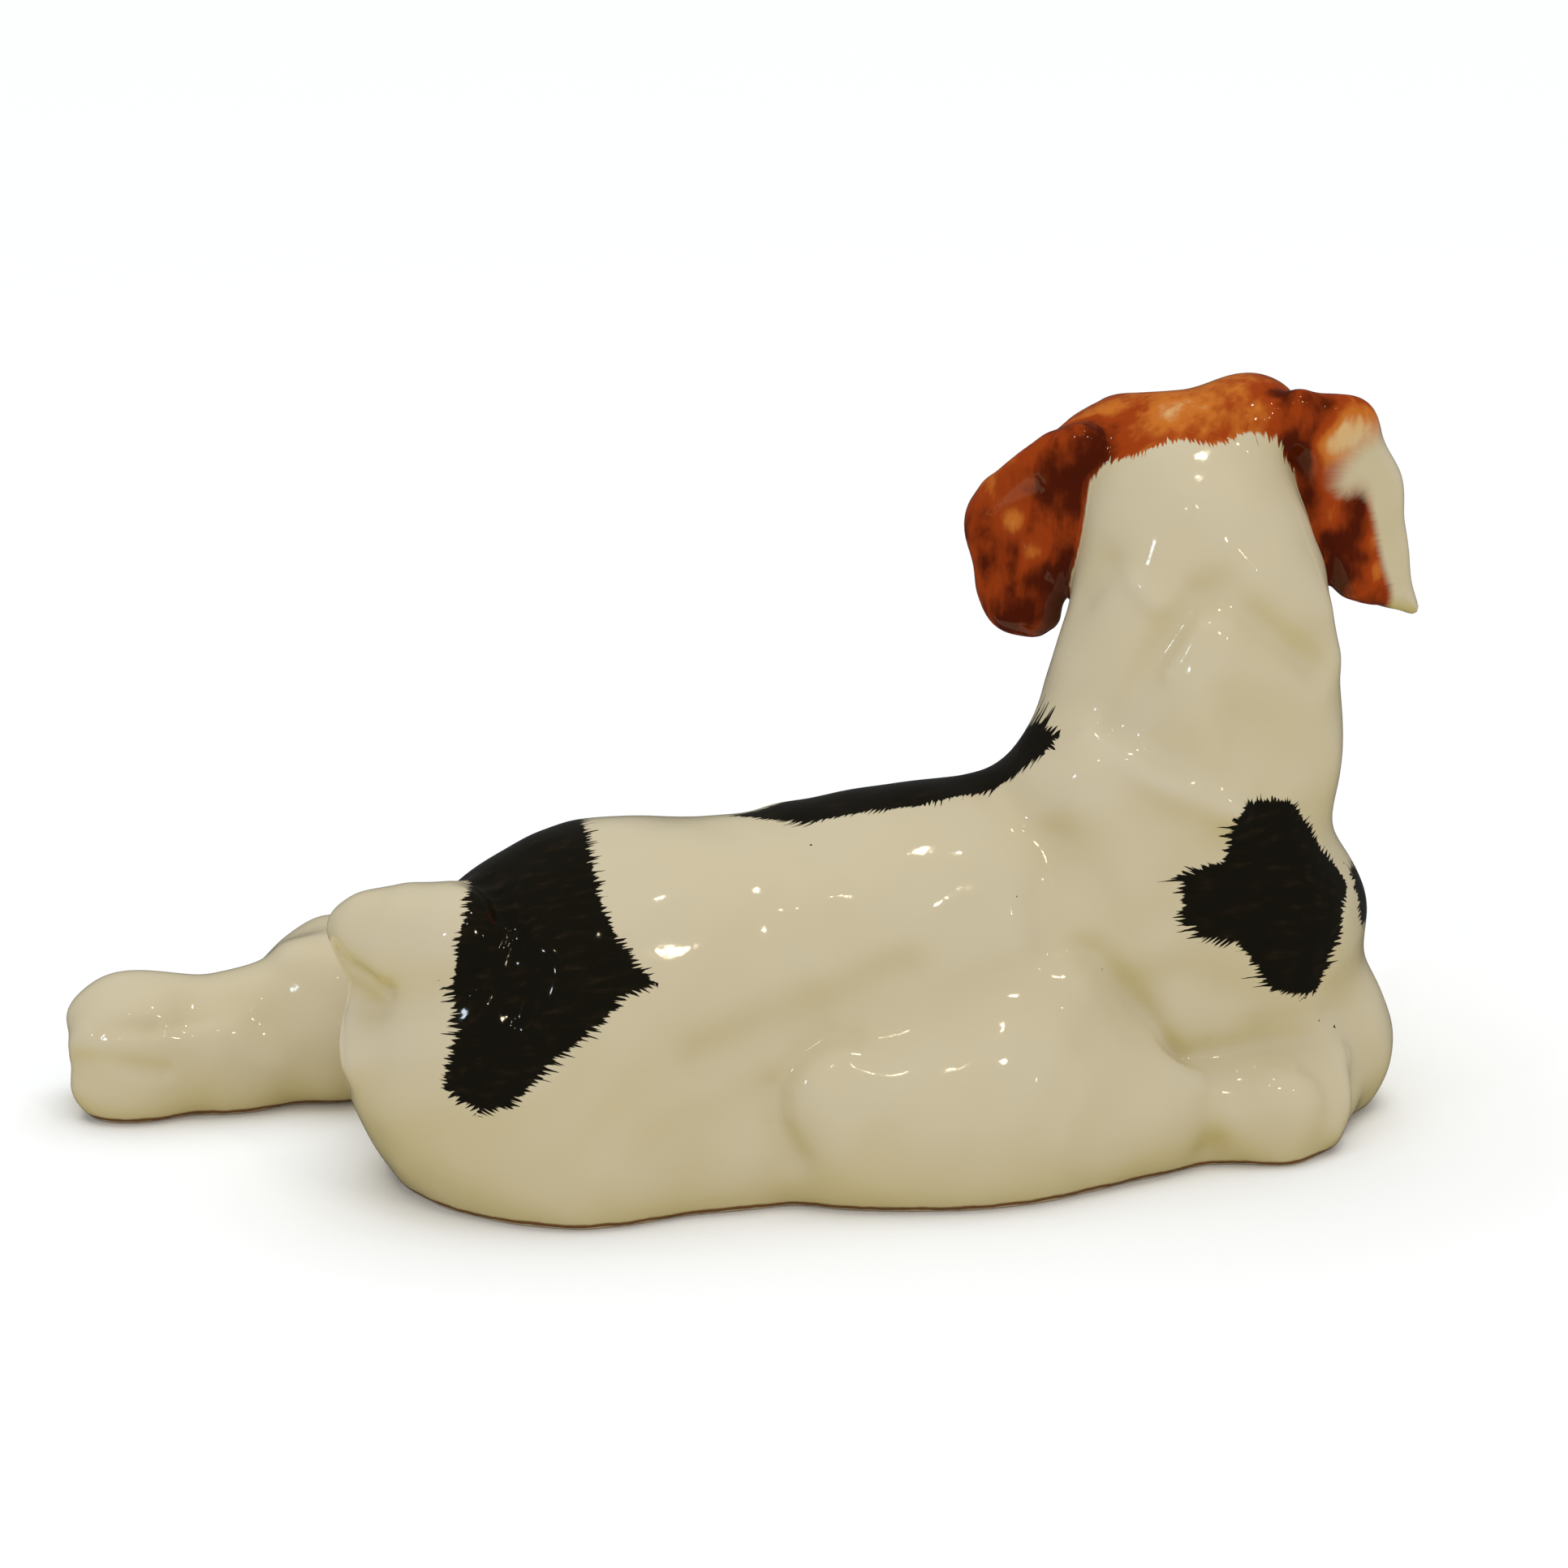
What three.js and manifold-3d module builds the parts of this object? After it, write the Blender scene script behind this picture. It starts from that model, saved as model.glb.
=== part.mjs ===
// A glazed earthenware figurine of a hound puppy that lies down and looks away over its left shoulder.
// It is slip cast in nine pieces, which are stuck together with slip, so thin slip seams part them here.
// Millimetres, +X where the chest points, +Y the dog's left, +Z up, standing on z = 0.
import * as THREE from "three";
import { mergeVertices } from "three/addons/utils/BufferGeometryUtils.js";
import Module from "manifold-3d";

const wasm = await Module();
wasm.setup();

// Assembly
const SLIP_SEAM = 0.3;
const VENT_DIAMETER = 6;
const VENT_DEPTH = 9;
const VENT_AT = [2, -2];

// Facet sizes of the pieces
const BODY_FACET = 3.7;
const HEAD_FACET = 2.6;
const EAR_FACET = 2.1;
const LEG_FACET = 2.8;
const TAIL_FACET = 2.1;

// Each mass of clay has its fairing, the width over which it runs into the clay before it.
// Trunk: the middle of each mass and its half sizes along X, Y and Z
const RUMP = { at: [-23.5, -1, 18.5], half: [19.8, 19.5, 21.5] };
const LOIN = { at: [-4, -1, 19], half: [36, 20.5, 20.7], fairing: 9 };
const RIBS = { at: [22, -1, 20.3], half: [32, 20, 22.5], fairing: 9 };
const BRISKET = { at: [50, -1, 20], half: [19.5, 16, 21], fairing: 9 };
const BREAST = { at: [57, -2, 25], half: [14.5, 13, 11], fairing: 6 };
const WITHERS = { at: [34, 0, 37], half: [8.5, 10, 9.5], fairing: 5 };
const FLANK = { at: [-27, -2, 4], half: [20, 25.2, 14.5], fairing: 9 };
const BELLY = { at: [-8, -2, 4], half: [16, 23, 14.5], fairing: 9 };
const HAUNCH = { at: [-30.5, -4.5, 15], half: [23.5, 19, 17], fairing: 9 };
const SHOULDER = { route: [[37, -5, 41], [56, -9, 25]], radii: [9, 10], fairing: 6 };

// Neck and head; the head's own axes are right, muzzle and crown
const NECK_ROOT = { at: [51, 0, 45], half: [18, 16.5, 19] };
const NAPE = { at: [44, 1, 50], half: [11, 10, 10], fairing: 5 };
const THROAT = { at: [53, 4, 60], half: [15.4, 14, 17], fairing: 7 };
const HEAD_AT = [53.5, 13, 71];
const HEAD_TURN = { yaw: 24, pitch: -4, roll: 12 };
const HEAD_FAIRING = 7;
const SKULL = { at: [0, 0, 0.6], half: [13.6, 14.5, 13.4] };
const EAR_BASE = { at: [9.8, 0.3, 9.3], half: [6, 8, 5.6], fairing: 5 };
const MUZZLE = { route: [[0, 9, -4], [0, 24, -7]], radii: [9.5, 6.2], fairing: 6 };
const CHEEK = { at: [8.5, 5, -7], half: [6.5, 8, 6.5], fairing: 5 };
const BROW = { at: [5.5, 11.5, 5], half: [4, 4, 3], fairing: 3 };
const LIP = { at: [3.2, 21.5, -9], half: [3.6, 6.5, 4.5], fairing: 3 };
const JAW = { route: [[0, 10, -11], [0, 22, -12]], radii: [5, 3.4], fairing: 3 };
const NOSE = { at: [0, 29.6, -4.2], half: [3.4, 2.6, 2.6], fairing: 1.5 };
const EYE = { at: [6.2, 13.4, 1.4], half: [2.2, 2.2, 2.2], fairing: 0.6 };

// Ears: each lobe is how far across, how far down and its radius
const EAR_THICKNESS = 4.8;
const EAR_CURL = -0.012;
const EAR_HANG = 0.004;
const LOBE_FAIRING = 3;
const LEFT_EAR = {
  at: [38.6, 12, 81],
  down: [-0.05, 0.1, -0.99],
  faces: [-0.66, -0.72, 0.2],
  lobes: [[-1.3, 1, 3.1], [10.1, 13.2, 3], [4.2, 19.7, 4.9], [1.5, 10, 6]],
};
const RIGHT_EAR = {
  at: [69.8, 6, 82.2],
  down: [0, 0.05, -1],
  faces: [0.2, -0.95, 0.2],
  lobes: [[4.8, -1.3, 3.6], [-0.8, 1.8, 4.7], [-2.8, 10, 6.9], [-5.1, 17.2, 5.2], [-11.4, 24, 0.9]],
};

// Right foreleg, folded along the ribs, with its paw under the breast
const RIGHT_ELBOW = { route: [[2, -17.5, 10.5], [20, -17, 11]], radii: [10.3, 9.8] };
const RIGHT_ARM = { route: [[24, -16.5, 14], [30.5, -15, 22]], radii: [9.5, 5.8], fairing: 5 };
const RIGHT_ARM_FRONT = { route: [[31, -15, 19], [38, -17.5, 6]], radii: [6.3, 7.6], fairing: 3 };
const RIGHT_FOREARM = { route: [[3, -19.2, 5], [37.5, -18.5, 5]], radii: [8.8, 8.2], fairing: 6 };
const RIGHT_MUSCLE = { at: [18, -20, 6], half: [19, 12.2, 13], fairing: 6 };
const RIGHT_WRIST = { route: [[46, -17.7, 5], [56, -18.5, 5]], radii: [7.7, 7.5] };
const RIGHT_FORE_TOES = [
  { at: [55.8, -22.5, 4], half: [5.9, 3.6, 6.7], fairing: 2.5 },
  { at: [58.8, -19.3, 4.5], half: [5.9, 3.6, 6.7], fairing: 2.5 },
  { at: [60.5, -15, 4.5], half: [5.9, 3.6, 6.7], fairing: 2.5 },
];
const RIGHT_PAW_FAIRING = 3;

// Left foreleg, folded across the front of the breast
const LEFT_ARM = { route: [[50, 12, 24], [42, 21, 9]], radii: [11, 9] };
const LEFT_FOREARM = { route: [[43, 20, 7], [65, -3, 9]], radii: [9.5, 10.2], fairing: 6 };
const LEFT_WRIST = { at: [63.5, -5.2, 5.5], half: [9, 8.2, 8], fairing: 6 };

// Hind legs
const THIGH = { at: [-26, 20, 13], half: [17, 12, 17] };
const LEFT_SHIN = { route: [[-26, 27, 10], [-48, 29, 9]], radii: [12, 8.8], fairing: 6 };
const LEFT_HOCK = { at: [-51, 30, 11.9], half: [6.5, 6, 6.5], fairing: 6 };
const LEFT_PASTERN = {
  route: [[-50, 29.5, 7], [-64, 29.8, 5.8], [-72.5, 30, 6.8]],
  radii: [8.6, 8, 7.4],
  fairing: 6,
  bend: 6,
};
const LEFT_HIND_TOES = [
  { at: [-73.6, 30.5, 11], half: [8.8, 6.2, 5.4], fairing: 2 },
  { at: [-74, 26.6, 8.8], half: [8.8, 5.5, 5.6], fairing: 2 },
  { at: [-74, 26, 4], half: [8.8, 5.5, 5.8], fairing: 2 },
  { at: [-73.6, 34, 5.5], half: [8.4, 5, 6.5], fairing: 2 },
];
const RIGHT_SHIN = {
  route: [[-30, 33, 9], [-48, 38, 11.3], [-61, 38.5, 5.5]],
  radii: [9, 6.2, 5],
  bend: 6,
};

// Tail
const TAIL = {
  route: [[-33, -8, 27], [-39.8, -7, 28], [-45.5, -4, 28.6], [-49.5, -1.8, 29.6], [-52.2, 0, 30.1]],
  radii: [9, 8.8, 7.3, 5.2, 3],
  bend: 1.5,
};

// Creases pressed into the clay and ridges raised on it: route, depth (less than 0 is raised) and width
const CREASES = [
  // Belly fold
  { depth: 0.9, width: 3, route: [[-15, -23.5, 19], [2, -21.6, 24], [9, -20.8, 26.5]] },
  // Back of the shoulder
  { depth: 1, width: 3, route: [[29.4, -12.8, 39], [27.5, -17.2, 32.7], [28, -19.6, 28]] },
  // Shoulder blade
  { depth: -0.8, width: 4, route: [[32.6, -12.8, 46], [36, -15.8, 39], [40.5, -18.7, 27]] },
  // Front of the shoulder
  { depth: -0.9, width: 3, route: [[33.2, -10.4, 50.7], [43.3, -16.9, 44.4], [50, -18.1, 41.3]] },
  // Collar hollow
  { depth: 1, width: 4.5, route: [[35.3, -9.9, 53.4], [42.7, -15.5, 48.5], [61.9, -13.6, 45.6]] },
  // Front of the arm
  { depth: 1.3, width: 2.8, route: [[33, -20, 26], [42.9, -20.2, 12.3], [46.1, -23.3, 3.4]] },
  // Left neck valley
  { depth: 1.2, width: 3.2, route: [[48.3, -8.8, 66.2], [44.1, -10.3, 60.4], [37.4, -12, 52.4]] },
  // Right neck valley
  { depth: 1.1, width: 3, route: [[51.3, -9.1, 66.5], [54.9, -10.5, 63.2], [62.6, -9.9, 56.7]] },
  // Neck hollow
  { depth: 1.1, width: 6, route: [[52.7, -15.2, 51.7], [58.1, -14.1, 51.5]] },
  // Swelling of the breast over the paw
  { depth: -1.5, width: 4, route: [[43.5, -17.9, 17.5], [51.1, -16.4, 14.6], [62, -13.8, 12]] },
  // Hock hollow
  { depth: 0.8, width: 5, route: [[-57.9, 22.1, 11.3], [-52.9, 21.8, 14.3]] },
  // Tail root
  { depth: 1.1, width: 3, route: [[-38, -5.8, 36], [-35.7, -15.1, 32], [-36.5, -21, 21.4]] },
  // Crown behind the left ear
  { depth: -0.8, width: 4.5, route: [[46.5, 16.5, 84], [49.1, 13.6, 84.5], [51.2, 11.3, 84.9]] },
];

// Fairings where one piece runs into the clay before it
const HEAD_JOIN = 5;
const RIGHT_FORELEG_JOIN = 3.5;
const LEFT_FORELEG_JOIN = 6;
const HIND_LEG_JOIN = 3.5;
const TAIL_JOIN = 2.2;
const EAR_JOIN = 1.6;

const IVORY_GLAZE = 0xcec2a9;
const RUST_PAINT = 0xa03d16;
const GLAZE_ROUGHNESS = 0.12;
const VENT_SIDES = 24;
const GRADIENT_STEP = 0.01;
const SETTLING_ROUNDS = 10;
const RIM_REACH = 0.45;
const LEAST_SLOPE = 0.1;
const HAIR = 1e-3;
const MARGIN_FACETS = 2;

/** The smaller of two distances, faired over a band so that two masses of clay run together. */
function faired(a, b, band) {
  if (band <= 0) return Math.min(a, b);
  const overlap = Math.max(band - Math.abs(a - b), 0) / band;
  return Math.min(a, b) - (overlap * overlap * band) / 4;
}

/** An ellipsoid of clay, faired into the clay before it. */
function ball({ at, half, fairing = 0 }) {
  const centre = new THREE.Vector3(...at);
  const size = new THREE.Vector3(...half);
  const offset = new THREE.Vector3();
  const distance = (point) => {
    const scaled = offset.subVectors(point, centre).divide(size).length();
    const slope = offset.divide(size).length();
    return slope > 0 ? (scaled * (scaled - 1)) / slope : -Math.min(...half);
  };
  const box = new THREE.Box3(centre.clone().sub(size), centre.clone().add(size));
  return { distance, box, fairing };
}

/** A tapering limb of clay with round ends. */
function limb({ route: [from, to], radii: [fromRadius, toRadius], fairing = 0 }) {
  const start = new THREE.Vector3(...from);
  const end = new THREE.Vector3(...to);
  const axis = end.clone().sub(start);
  const lengthSq = axis.lengthSq();
  const taper = fromRadius - toRadius;
  const slantSq = lengthSq - taper * taper;
  const offset = new THREE.Vector3();
  const distance = (point) => {
    offset.subVectors(point, start);
    const along = offset.dot(axis);
    const beyond = along - lengthSq;
    const acrossSq = offset.multiplyScalar(lengthSq).addScaledVector(axis, -along).lengthSq();
    const alongSq = along * along * lengthSq;
    const beyondSq = beyond * beyond * lengthSq;
    const cone = Math.sign(taper) * taper * taper * acrossSq;
    if (Math.sign(beyond) * slantSq * beyondSq > cone) {
      return Math.sqrt(acrossSq + beyondSq) / lengthSq - toRadius;
    }
    if (Math.sign(along) * slantSq * alongSq < cone) {
      return Math.sqrt(acrossSq + alongSq) / lengthSq - fromRadius;
    }
    return (Math.sqrt((acrossSq * slantSq) / lengthSq) + along * taper) / lengthSq - fromRadius;
  };
  const box = new THREE.Box3().expandByPoint(start).expandByPoint(end);
  box.expandByScalar(Math.max(fromRadius, toRadius));
  return { distance, box, fairing };
}

/** Limbs end to end through a route, with a radius at each point and a fairing at each bend. */
function limbs({ route, radii, fairing = 0, bend }) {
  return route.slice(1).map((to, i) => {
    const stretch = { route: [route[i], to], radii: [radii[i], radii[i + 1]] };
    return limb({ ...stretch, fairing: i === 0 ? fairing : bend });
  });
}

/** The same mass on the dog's left and right side, in the head's own axes. */
function pair({ at, ...mass }) {
  return [ball({ at, ...mass }), ball({ at: [-at[0], at[1], at[2]], ...mass })];
}

/** Masses of clay worked into one, each faired into those before it. */
function worked(masses, fairing = 0) {
  const distance = (point) => {
    let whole = masses[0].distance(point);
    for (const mass of masses.slice(1)) {
      whole = faired(whole, mass.distance(point), mass.fairing);
    }
    return whole;
  };
  const box = masses.reduce((all, mass) => all.union(mass.box), new THREE.Box3());
  return { distance, box, fairing };
}

/** Clay modelled in axes of its own: right, muzzle and crown, from yaw, pitch and roll in degrees. */
function turned(mass, at, { yaw, pitch, roll }, fairing) {
  const turn = new THREE.Matrix4()
    .makeRotationZ(-THREE.MathUtils.degToRad(yaw))
    .multiply(new THREE.Matrix4().makeRotationX(THREE.MathUtils.degToRad(pitch)))
    .multiply(new THREE.Matrix4().makeRotationY(-THREE.MathUtils.degToRad(roll)));
  const place = turn.setPosition(...at);
  const inverse = place.clone().invert();
  const local = new THREE.Vector3();
  const distance = (point) => mass.distance(local.copy(point).applyMatrix4(inverse));
  const box = mass.box.clone().applyMatrix4(place);
  return { distance, box, fairing };
}

/** A drop ear: a curled leaf of even thickness whose outline runs round its lobes. */
function leaf({ at, down, faces, lobes }) {
  const origin = new THREE.Vector3(...at);
  const along = new THREE.Vector3(...down).normalize();
  const normal = new THREE.Vector3(...faces);
  normal.addScaledVector(along, -normal.dot(along)).normalize();
  const across = new THREE.Vector3().crossVectors(along, normal);
  const rim = EAR_THICKNESS / 2;
  const route = lobes.map(([side, drop]) => [side, drop, 0]);
  const radii = lobes.map((lobe) => lobe[2]);
  const outline = worked(limbs({ route, radii, bend: LOBE_FAIRING }));
  const offset = new THREE.Vector3();
  const flat = new THREE.Vector3();
  const distance = (point) => {
    offset.subVectors(point, origin);
    flat.set(offset.dot(across), offset.dot(along), 0);
    const lift = offset.dot(normal) - EAR_CURL * flat.x * flat.x - EAR_HANG * flat.y * flat.y;
    return Math.hypot(Math.max(outline.distance(flat) + rim, 0), lift) - rim;
  };
  const reach = outline.box.min.length() + outline.box.max.length();
  const box = new THREE.Box3(origin.clone(), origin.clone()).expandByScalar(reach);
  return { distance, box, fairing: 0 };
}

/** How much a crease pushes the surface in at a point: a smooth stroke along its route. */
function stroke({ route, depth, width }) {
  const points = route.map((place) => new THREE.Vector3(...place));
  const spans = points.slice(1).map((end, i) => new THREE.Line3(points[i], end));
  const nearest = new THREE.Vector3();
  return (point) => {
    const gap = Math.min(
      ...spans.map((span) => span.closestPointToPoint(point, true, nearest).distanceTo(point)),
    );
    return depth * Math.exp(-((gap / width) ** 2));
  };
}

/** Trunk with the right shoulder. */
function bodyClay() {
  const masses = [RUMP, LOIN, RIBS, BRISKET, BREAST, WITHERS, FLANK, BELLY, HAUNCH];
  return worked([...masses.map(ball), limb(SHOULDER)]);
}

/** Neck and head, with muzzle, brows, eyes and nose. */
function headClay() {
  const skull = worked([
    ball(SKULL),
    ...pair(EAR_BASE),
    limb(MUZZLE),
    ...pair(CHEEK),
    ...pair(BROW),
    ...pair(LIP),
    limb(JAW),
    ball(NOSE),
    ...pair(EYE),
  ]);
  const neck = [NECK_ROOT, NAPE, THROAT].map(ball);
  return worked([...neck, turned(skull, HEAD_AT, HEAD_TURN, HEAD_FAIRING)]);
}

/** Right foreleg: upper arm and forearm folded flat, and the paw. */
function rightForelegClay() {
  const arm = [RIGHT_ELBOW, RIGHT_ARM, RIGHT_ARM_FRONT, RIGHT_FOREARM].map(limb);
  const paw = worked([limb(RIGHT_WRIST), ...RIGHT_FORE_TOES.map(ball)], RIGHT_PAW_FAIRING);
  return worked([worked([...arm, ball(RIGHT_MUSCLE)]), paw]);
}

/** Left foreleg, whose forearm crosses in front of the breast. */
function leftForelegClay() {
  return worked([limb(LEFT_ARM), limb(LEFT_FOREARM), ball(LEFT_WRIST)]);
}

/** Left hind leg, stretched out behind with its toes. */
function leftHindLegClay() {
  const leg = [ball(THIGH), limb(LEFT_SHIN), ball(LEFT_HOCK), ...limbs(LEFT_PASTERN)];
  return worked([...leg, ...LEFT_HIND_TOES.map(ball)]);
}

/** Right hind leg, which comes out from under the hips. */
function rightHindLegClay() {
  return worked(limbs(RIGHT_SHIN));
}

/** Short tapering tail. */
function tailClay() {
  return worked(limbs(TAIL));
}

/** A cast piece: its node name, its clay, its fairing into the pieces before it, and its facet size. */
function piece(name, clay, join, facet, colour = IVORY_GLAZE) {
  return { name, clay, join, facet, colour };
}

const PIECES = [
  piece("body", bodyClay(), 0, BODY_FACET),
  piece("head", headClay(), HEAD_JOIN, HEAD_FACET),
  piece("right_foreleg", rightForelegClay(), RIGHT_FORELEG_JOIN, LEG_FACET),
  piece("left_foreleg", leftForelegClay(), LEFT_FORELEG_JOIN, LEG_FACET),
  piece("right_hind_leg", rightHindLegClay(), HIND_LEG_JOIN, LEG_FACET),
  piece("left_hind_leg", leftHindLegClay(), HIND_LEG_JOIN, LEG_FACET),
  piece("tail", tailClay(), TAIL_JOIN, TAIL_FACET),
  piece("left_ear", leaf(LEFT_EAR), EAR_JOIN, EAR_FACET, RUST_PAINT),
  piece("right_ear", leaf(RIGHT_EAR), EAR_JOIN, EAR_FACET, RUST_PAINT),
];
const STROKES = CREASES.map(stroke);

/** The outer surface of all the pieces worked together, with its creases. */
function figureSurface(point) {
  let whole = PIECES[0].clay.distance(point);
  for (const { clay, join } of PIECES.slice(1)) {
    whole = faired(whole, clay.distance(point), join);
  }
  return STROKES.reduce((surface, press) => surface + press(point), whole);
}

/** The foot on which the figure stands. */
function foot(point) {
  return -point.z;
}

/** Where a piece's own clay meets its neighbours', drawn back so that a slip seam's width parts them. */
function seamOf(clay) {
  const others = PIECES.filter((other) => other.clay !== clay);
  return (point) => {
    const nearest = Math.min(...others.map((other) => other.clay.distance(point)));
    return clay.distance(point) - nearest + SLIP_SEAM;
  };
}

/** The slope of a distance field at a point. */
function slopeAt(field, point) {
  const slope = new THREE.Vector3();
  for (const axis of ["x", "y", "z"]) {
    const ahead = point.clone();
    const behind = point.clone();
    ahead[axis] += GRADIENT_STEP;
    behind[axis] -= GRADIENT_STEP;
    slope[axis] = (field(ahead) - field(behind)) / (2 * GRADIENT_STEP);
  }
  return slope;
}

/** Draws a point onto some of the bounds, and back inside the others where it is outside them. */
function drawnOnto(onto, bounds, start) {
  const drawn = start.clone();
  for (let round = 0; round < SETTLING_ROUNDS; round += 1) {
    for (const bound of bounds) {
      const distance = bound(drawn);
      if (distance <= 0 && !onto.includes(bound)) continue;
      const slope = slopeAt(bound, drawn);
      drawn.addScaledVector(slope, -distance / Math.max(slope.lengthSq(), LEAST_SLOPE));
    }
  }
  return drawn;
}

/** Settles a rough vertex on the surfaces that bound its piece, so that rims stay crisp. */
function settle(vertex, bounds, facet) {
  const rim = bounds.filter((bound) => bound(vertex) > -RIM_REACH * facet);
  const strongest = bounds.reduce((best, bound) => (bound(vertex) > best(vertex) ? bound : best));
  const settled = drawnOnto(rim, bounds, vertex);
  return settled.distanceTo(vertex) < facet ? settled : drawnOnto([strongest], bounds, vertex);
}

/** Samples the piece on a grid of one facet's step. */
function sampleGrid(field, box, facet) {
  const counts = box.getSize(new THREE.Vector3()).divideScalar(facet).ceil().addScalar(1).toArray();
  const stride = [1, counts[0], counts[0] * counts[1]];
  const values = new Float64Array(counts[0] * counts[1] * counts[2]);
  const point = new THREE.Vector3();
  for (let k = 0; k < counts[2]; k += 1) {
    for (let j = 0; j < counts[1]; j += 1) {
      for (let i = 0; i < counts[0]; i += 1) {
        point.set(i, j, k).multiplyScalar(facet).add(box.min);
        values[i + j * stride[1] + k * stride[2]] = field(point);
      }
    }
  }
  return { counts, stride, values };
}

/** Turns the weaker corner of each chequered grid face, so that no edge of the skin meets four faces. */
function uncheckerGrid({ counts, stride, values }) {
  let turnedCorners = 0;
  for (let index = 0; index < values.length; index += 1) {
    const [row, layer] = [Math.floor(index / stride[1]), Math.floor(index / stride[2])];
    const cell = [index % counts[0], row % counts[1], layer];
    for (const [a, b] of [[0, 1], [1, 2], [2, 0]]) {
      if (cell[a] + 1 >= counts[a] || cell[b] + 1 >= counts[b]) continue;
      const corners = [index, index + stride[a], index + stride[a] + stride[b], index + stride[b]];
      const inside = corners.map((corner) => values[corner] < 0);
      if (inside[0] !== inside[2] || inside[1] !== inside[3] || inside[0] === inside[1]) continue;
      corners.sort((one, other) => Math.abs(values[one]) - Math.abs(values[other]));
      values[corners[0]] = values[corners[0]] < 0 ? HAIR : -HAIR;
      turnedCorners += 1;
    }
  }
  return turnedCorners;
}

/** The middle of the places where the surface crosses one grid cell's edges, or null if none does. */
function cellVertex({ stride, values }, corner) {
  const middle = new THREE.Vector3();
  let crossings = 0;
  for (let axis = 0; axis < 3; axis += 1) {
    const [b, c] = [(axis + 1) % 3, (axis + 2) % 3];
    for (const [stepB, stepC] of [[0, 0], [1, 0], [0, 1], [1, 1]]) {
      const start = corner + stepB * stride[b] + stepC * stride[c];
      const [low, high] = [values[start], values[start + stride[axis]]];
      if (low < 0 === high < 0) continue;
      const place = [0, 0, 0];
      place[axis] = low / (low - high);
      place[b] = stepB;
      place[c] = stepC;
      middle.add(new THREE.Vector3(...place));
      crossings += 1;
    }
  }
  return crossings > 0 ? middle.divideScalar(crossings) : null;
}

/** Skins the space inside the bounds: a vertex in each crossed cell, a square over each crossed edge. */
function skin(bounds, box, facet) {
  const field = (point) => Math.max(...bounds.map((bound) => bound(point)));
  const grid = sampleGrid(field, box, facet);
  while (uncheckerGrid(grid) > 0);
  const { counts, stride, values } = grid;
  const vertices = [];
  const vertexOf = new Map();
  const triangles = [];
  const eachCell = (visit) => {
    for (let k = 0; k + 1 < counts[2]; k += 1) {
      for (let j = 0; j + 1 < counts[1]; j += 1) {
        for (let i = 0; i + 1 < counts[0]; i += 1) visit([i, j, k], i + j * stride[1] + k * stride[2]);
      }
    }
  };
  eachCell((cell, corner) => {
    const middle = cellVertex(grid, corner);
    if (!middle) return;
    middle.add(new THREE.Vector3(...cell)).multiplyScalar(facet).add(box.min);
    vertexOf.set(corner, vertices.length);
    vertices.push(settle(middle, bounds, facet));
  });
  eachCell((cell, corner) => {
    for (let axis = 0; axis < 3; axis += 1) {
      const [b, c] = [(axis + 1) % 3, (axis + 2) % 3];
      const inside = values[corner] < 0;
      if (cell[b] === 0 || cell[c] === 0 || inside === values[corner + stride[axis]] < 0) continue;
      const around = [corner - stride[b] - stride[c], corner - stride[c], corner, corner - stride[b]];
      const square = around.map((neighbour) => vertexOf.get(neighbour));
      if (!inside) square.reverse();
      triangles.push(...halved(square, vertices));
    }
  });
  return { vertices, triangles };
}

/** Splits a square along its shorter diagonal. */
function halved([a, b, c, d], vertices) {
  const straight = vertices[a].distanceTo(vertices[c]) < vertices[b].distanceTo(vertices[d]);
  return straight ? [a, b, c, a, c, d] : [a, b, d, b, c, d];
}

/** A closed skin as a solid that can be cut. */
function solid(vertices, triangles) {
  const vertProperties = new Float32Array(vertices.flatMap((vertex) => vertex.toArray()));
  const triVerts = new Uint32Array(triangles);
  return new wasm.Manifold(new wasm.Mesh({ numProp: 3, vertProperties, triVerts }));
}

/** A three.js shape as a solid that can cut. */
function solidOf(shape) {
  shape.deleteAttribute("normal");
  shape.deleteAttribute("uv");
  const merged = mergeVertices(shape);
  const vertProperties = merged.attributes.position.array;
  return new wasm.Manifold(new wasm.Mesh({ numProp: 3, vertProperties, triVerts: merged.index.array }));
}

/** The bore of the vent in the foot, through which the cast drained. */
function ventBore() {
  const radius = VENT_DIAMETER / 2;
  const bore = new THREE.CylinderGeometry(radius, radius, 2 * VENT_DEPTH, VENT_SIDES);
  bore.rotateX(Math.PI / 2).translate(...VENT_AT, 0);
  return solidOf(bore);
}

/** One cast piece as a solid, skinned between its outer surface, the foot and its slip seams. */
function castSolid({ name, clay, join, facet }) {
  const margin = MARGIN_FACETS * facet;
  const box = clay.box.clone().expandByScalar(join + margin);
  box.min.z = Math.max(box.min.z, -margin);
  const { vertices, triangles } = skin([figureSurface, foot, seamOf(clay)], box, facet);
  const cast = solid(vertices, triangles);
  return name === "body" ? cast.subtract(ventBore()) : cast;
}

/** A solid as a named mesh in its glaze. */
function glazedMesh(cast, { name, colour }) {
  const { vertProperties, triVerts } = cast.getMesh();
  const geometry = new THREE.BufferGeometry()
    .setAttribute("position", new THREE.BufferAttribute(vertProperties, 3))
    .setIndex(new THREE.BufferAttribute(triVerts, 1));
  geometry.computeVertexNormals();
  const glaze = { color: colour, roughness: GLAZE_ROUGHNESS, metalness: 0 };
  const mesh = new THREE.Mesh(geometry, new THREE.MeshStandardMaterial(glaze));
  mesh.name = name;
  return mesh;
}

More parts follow.
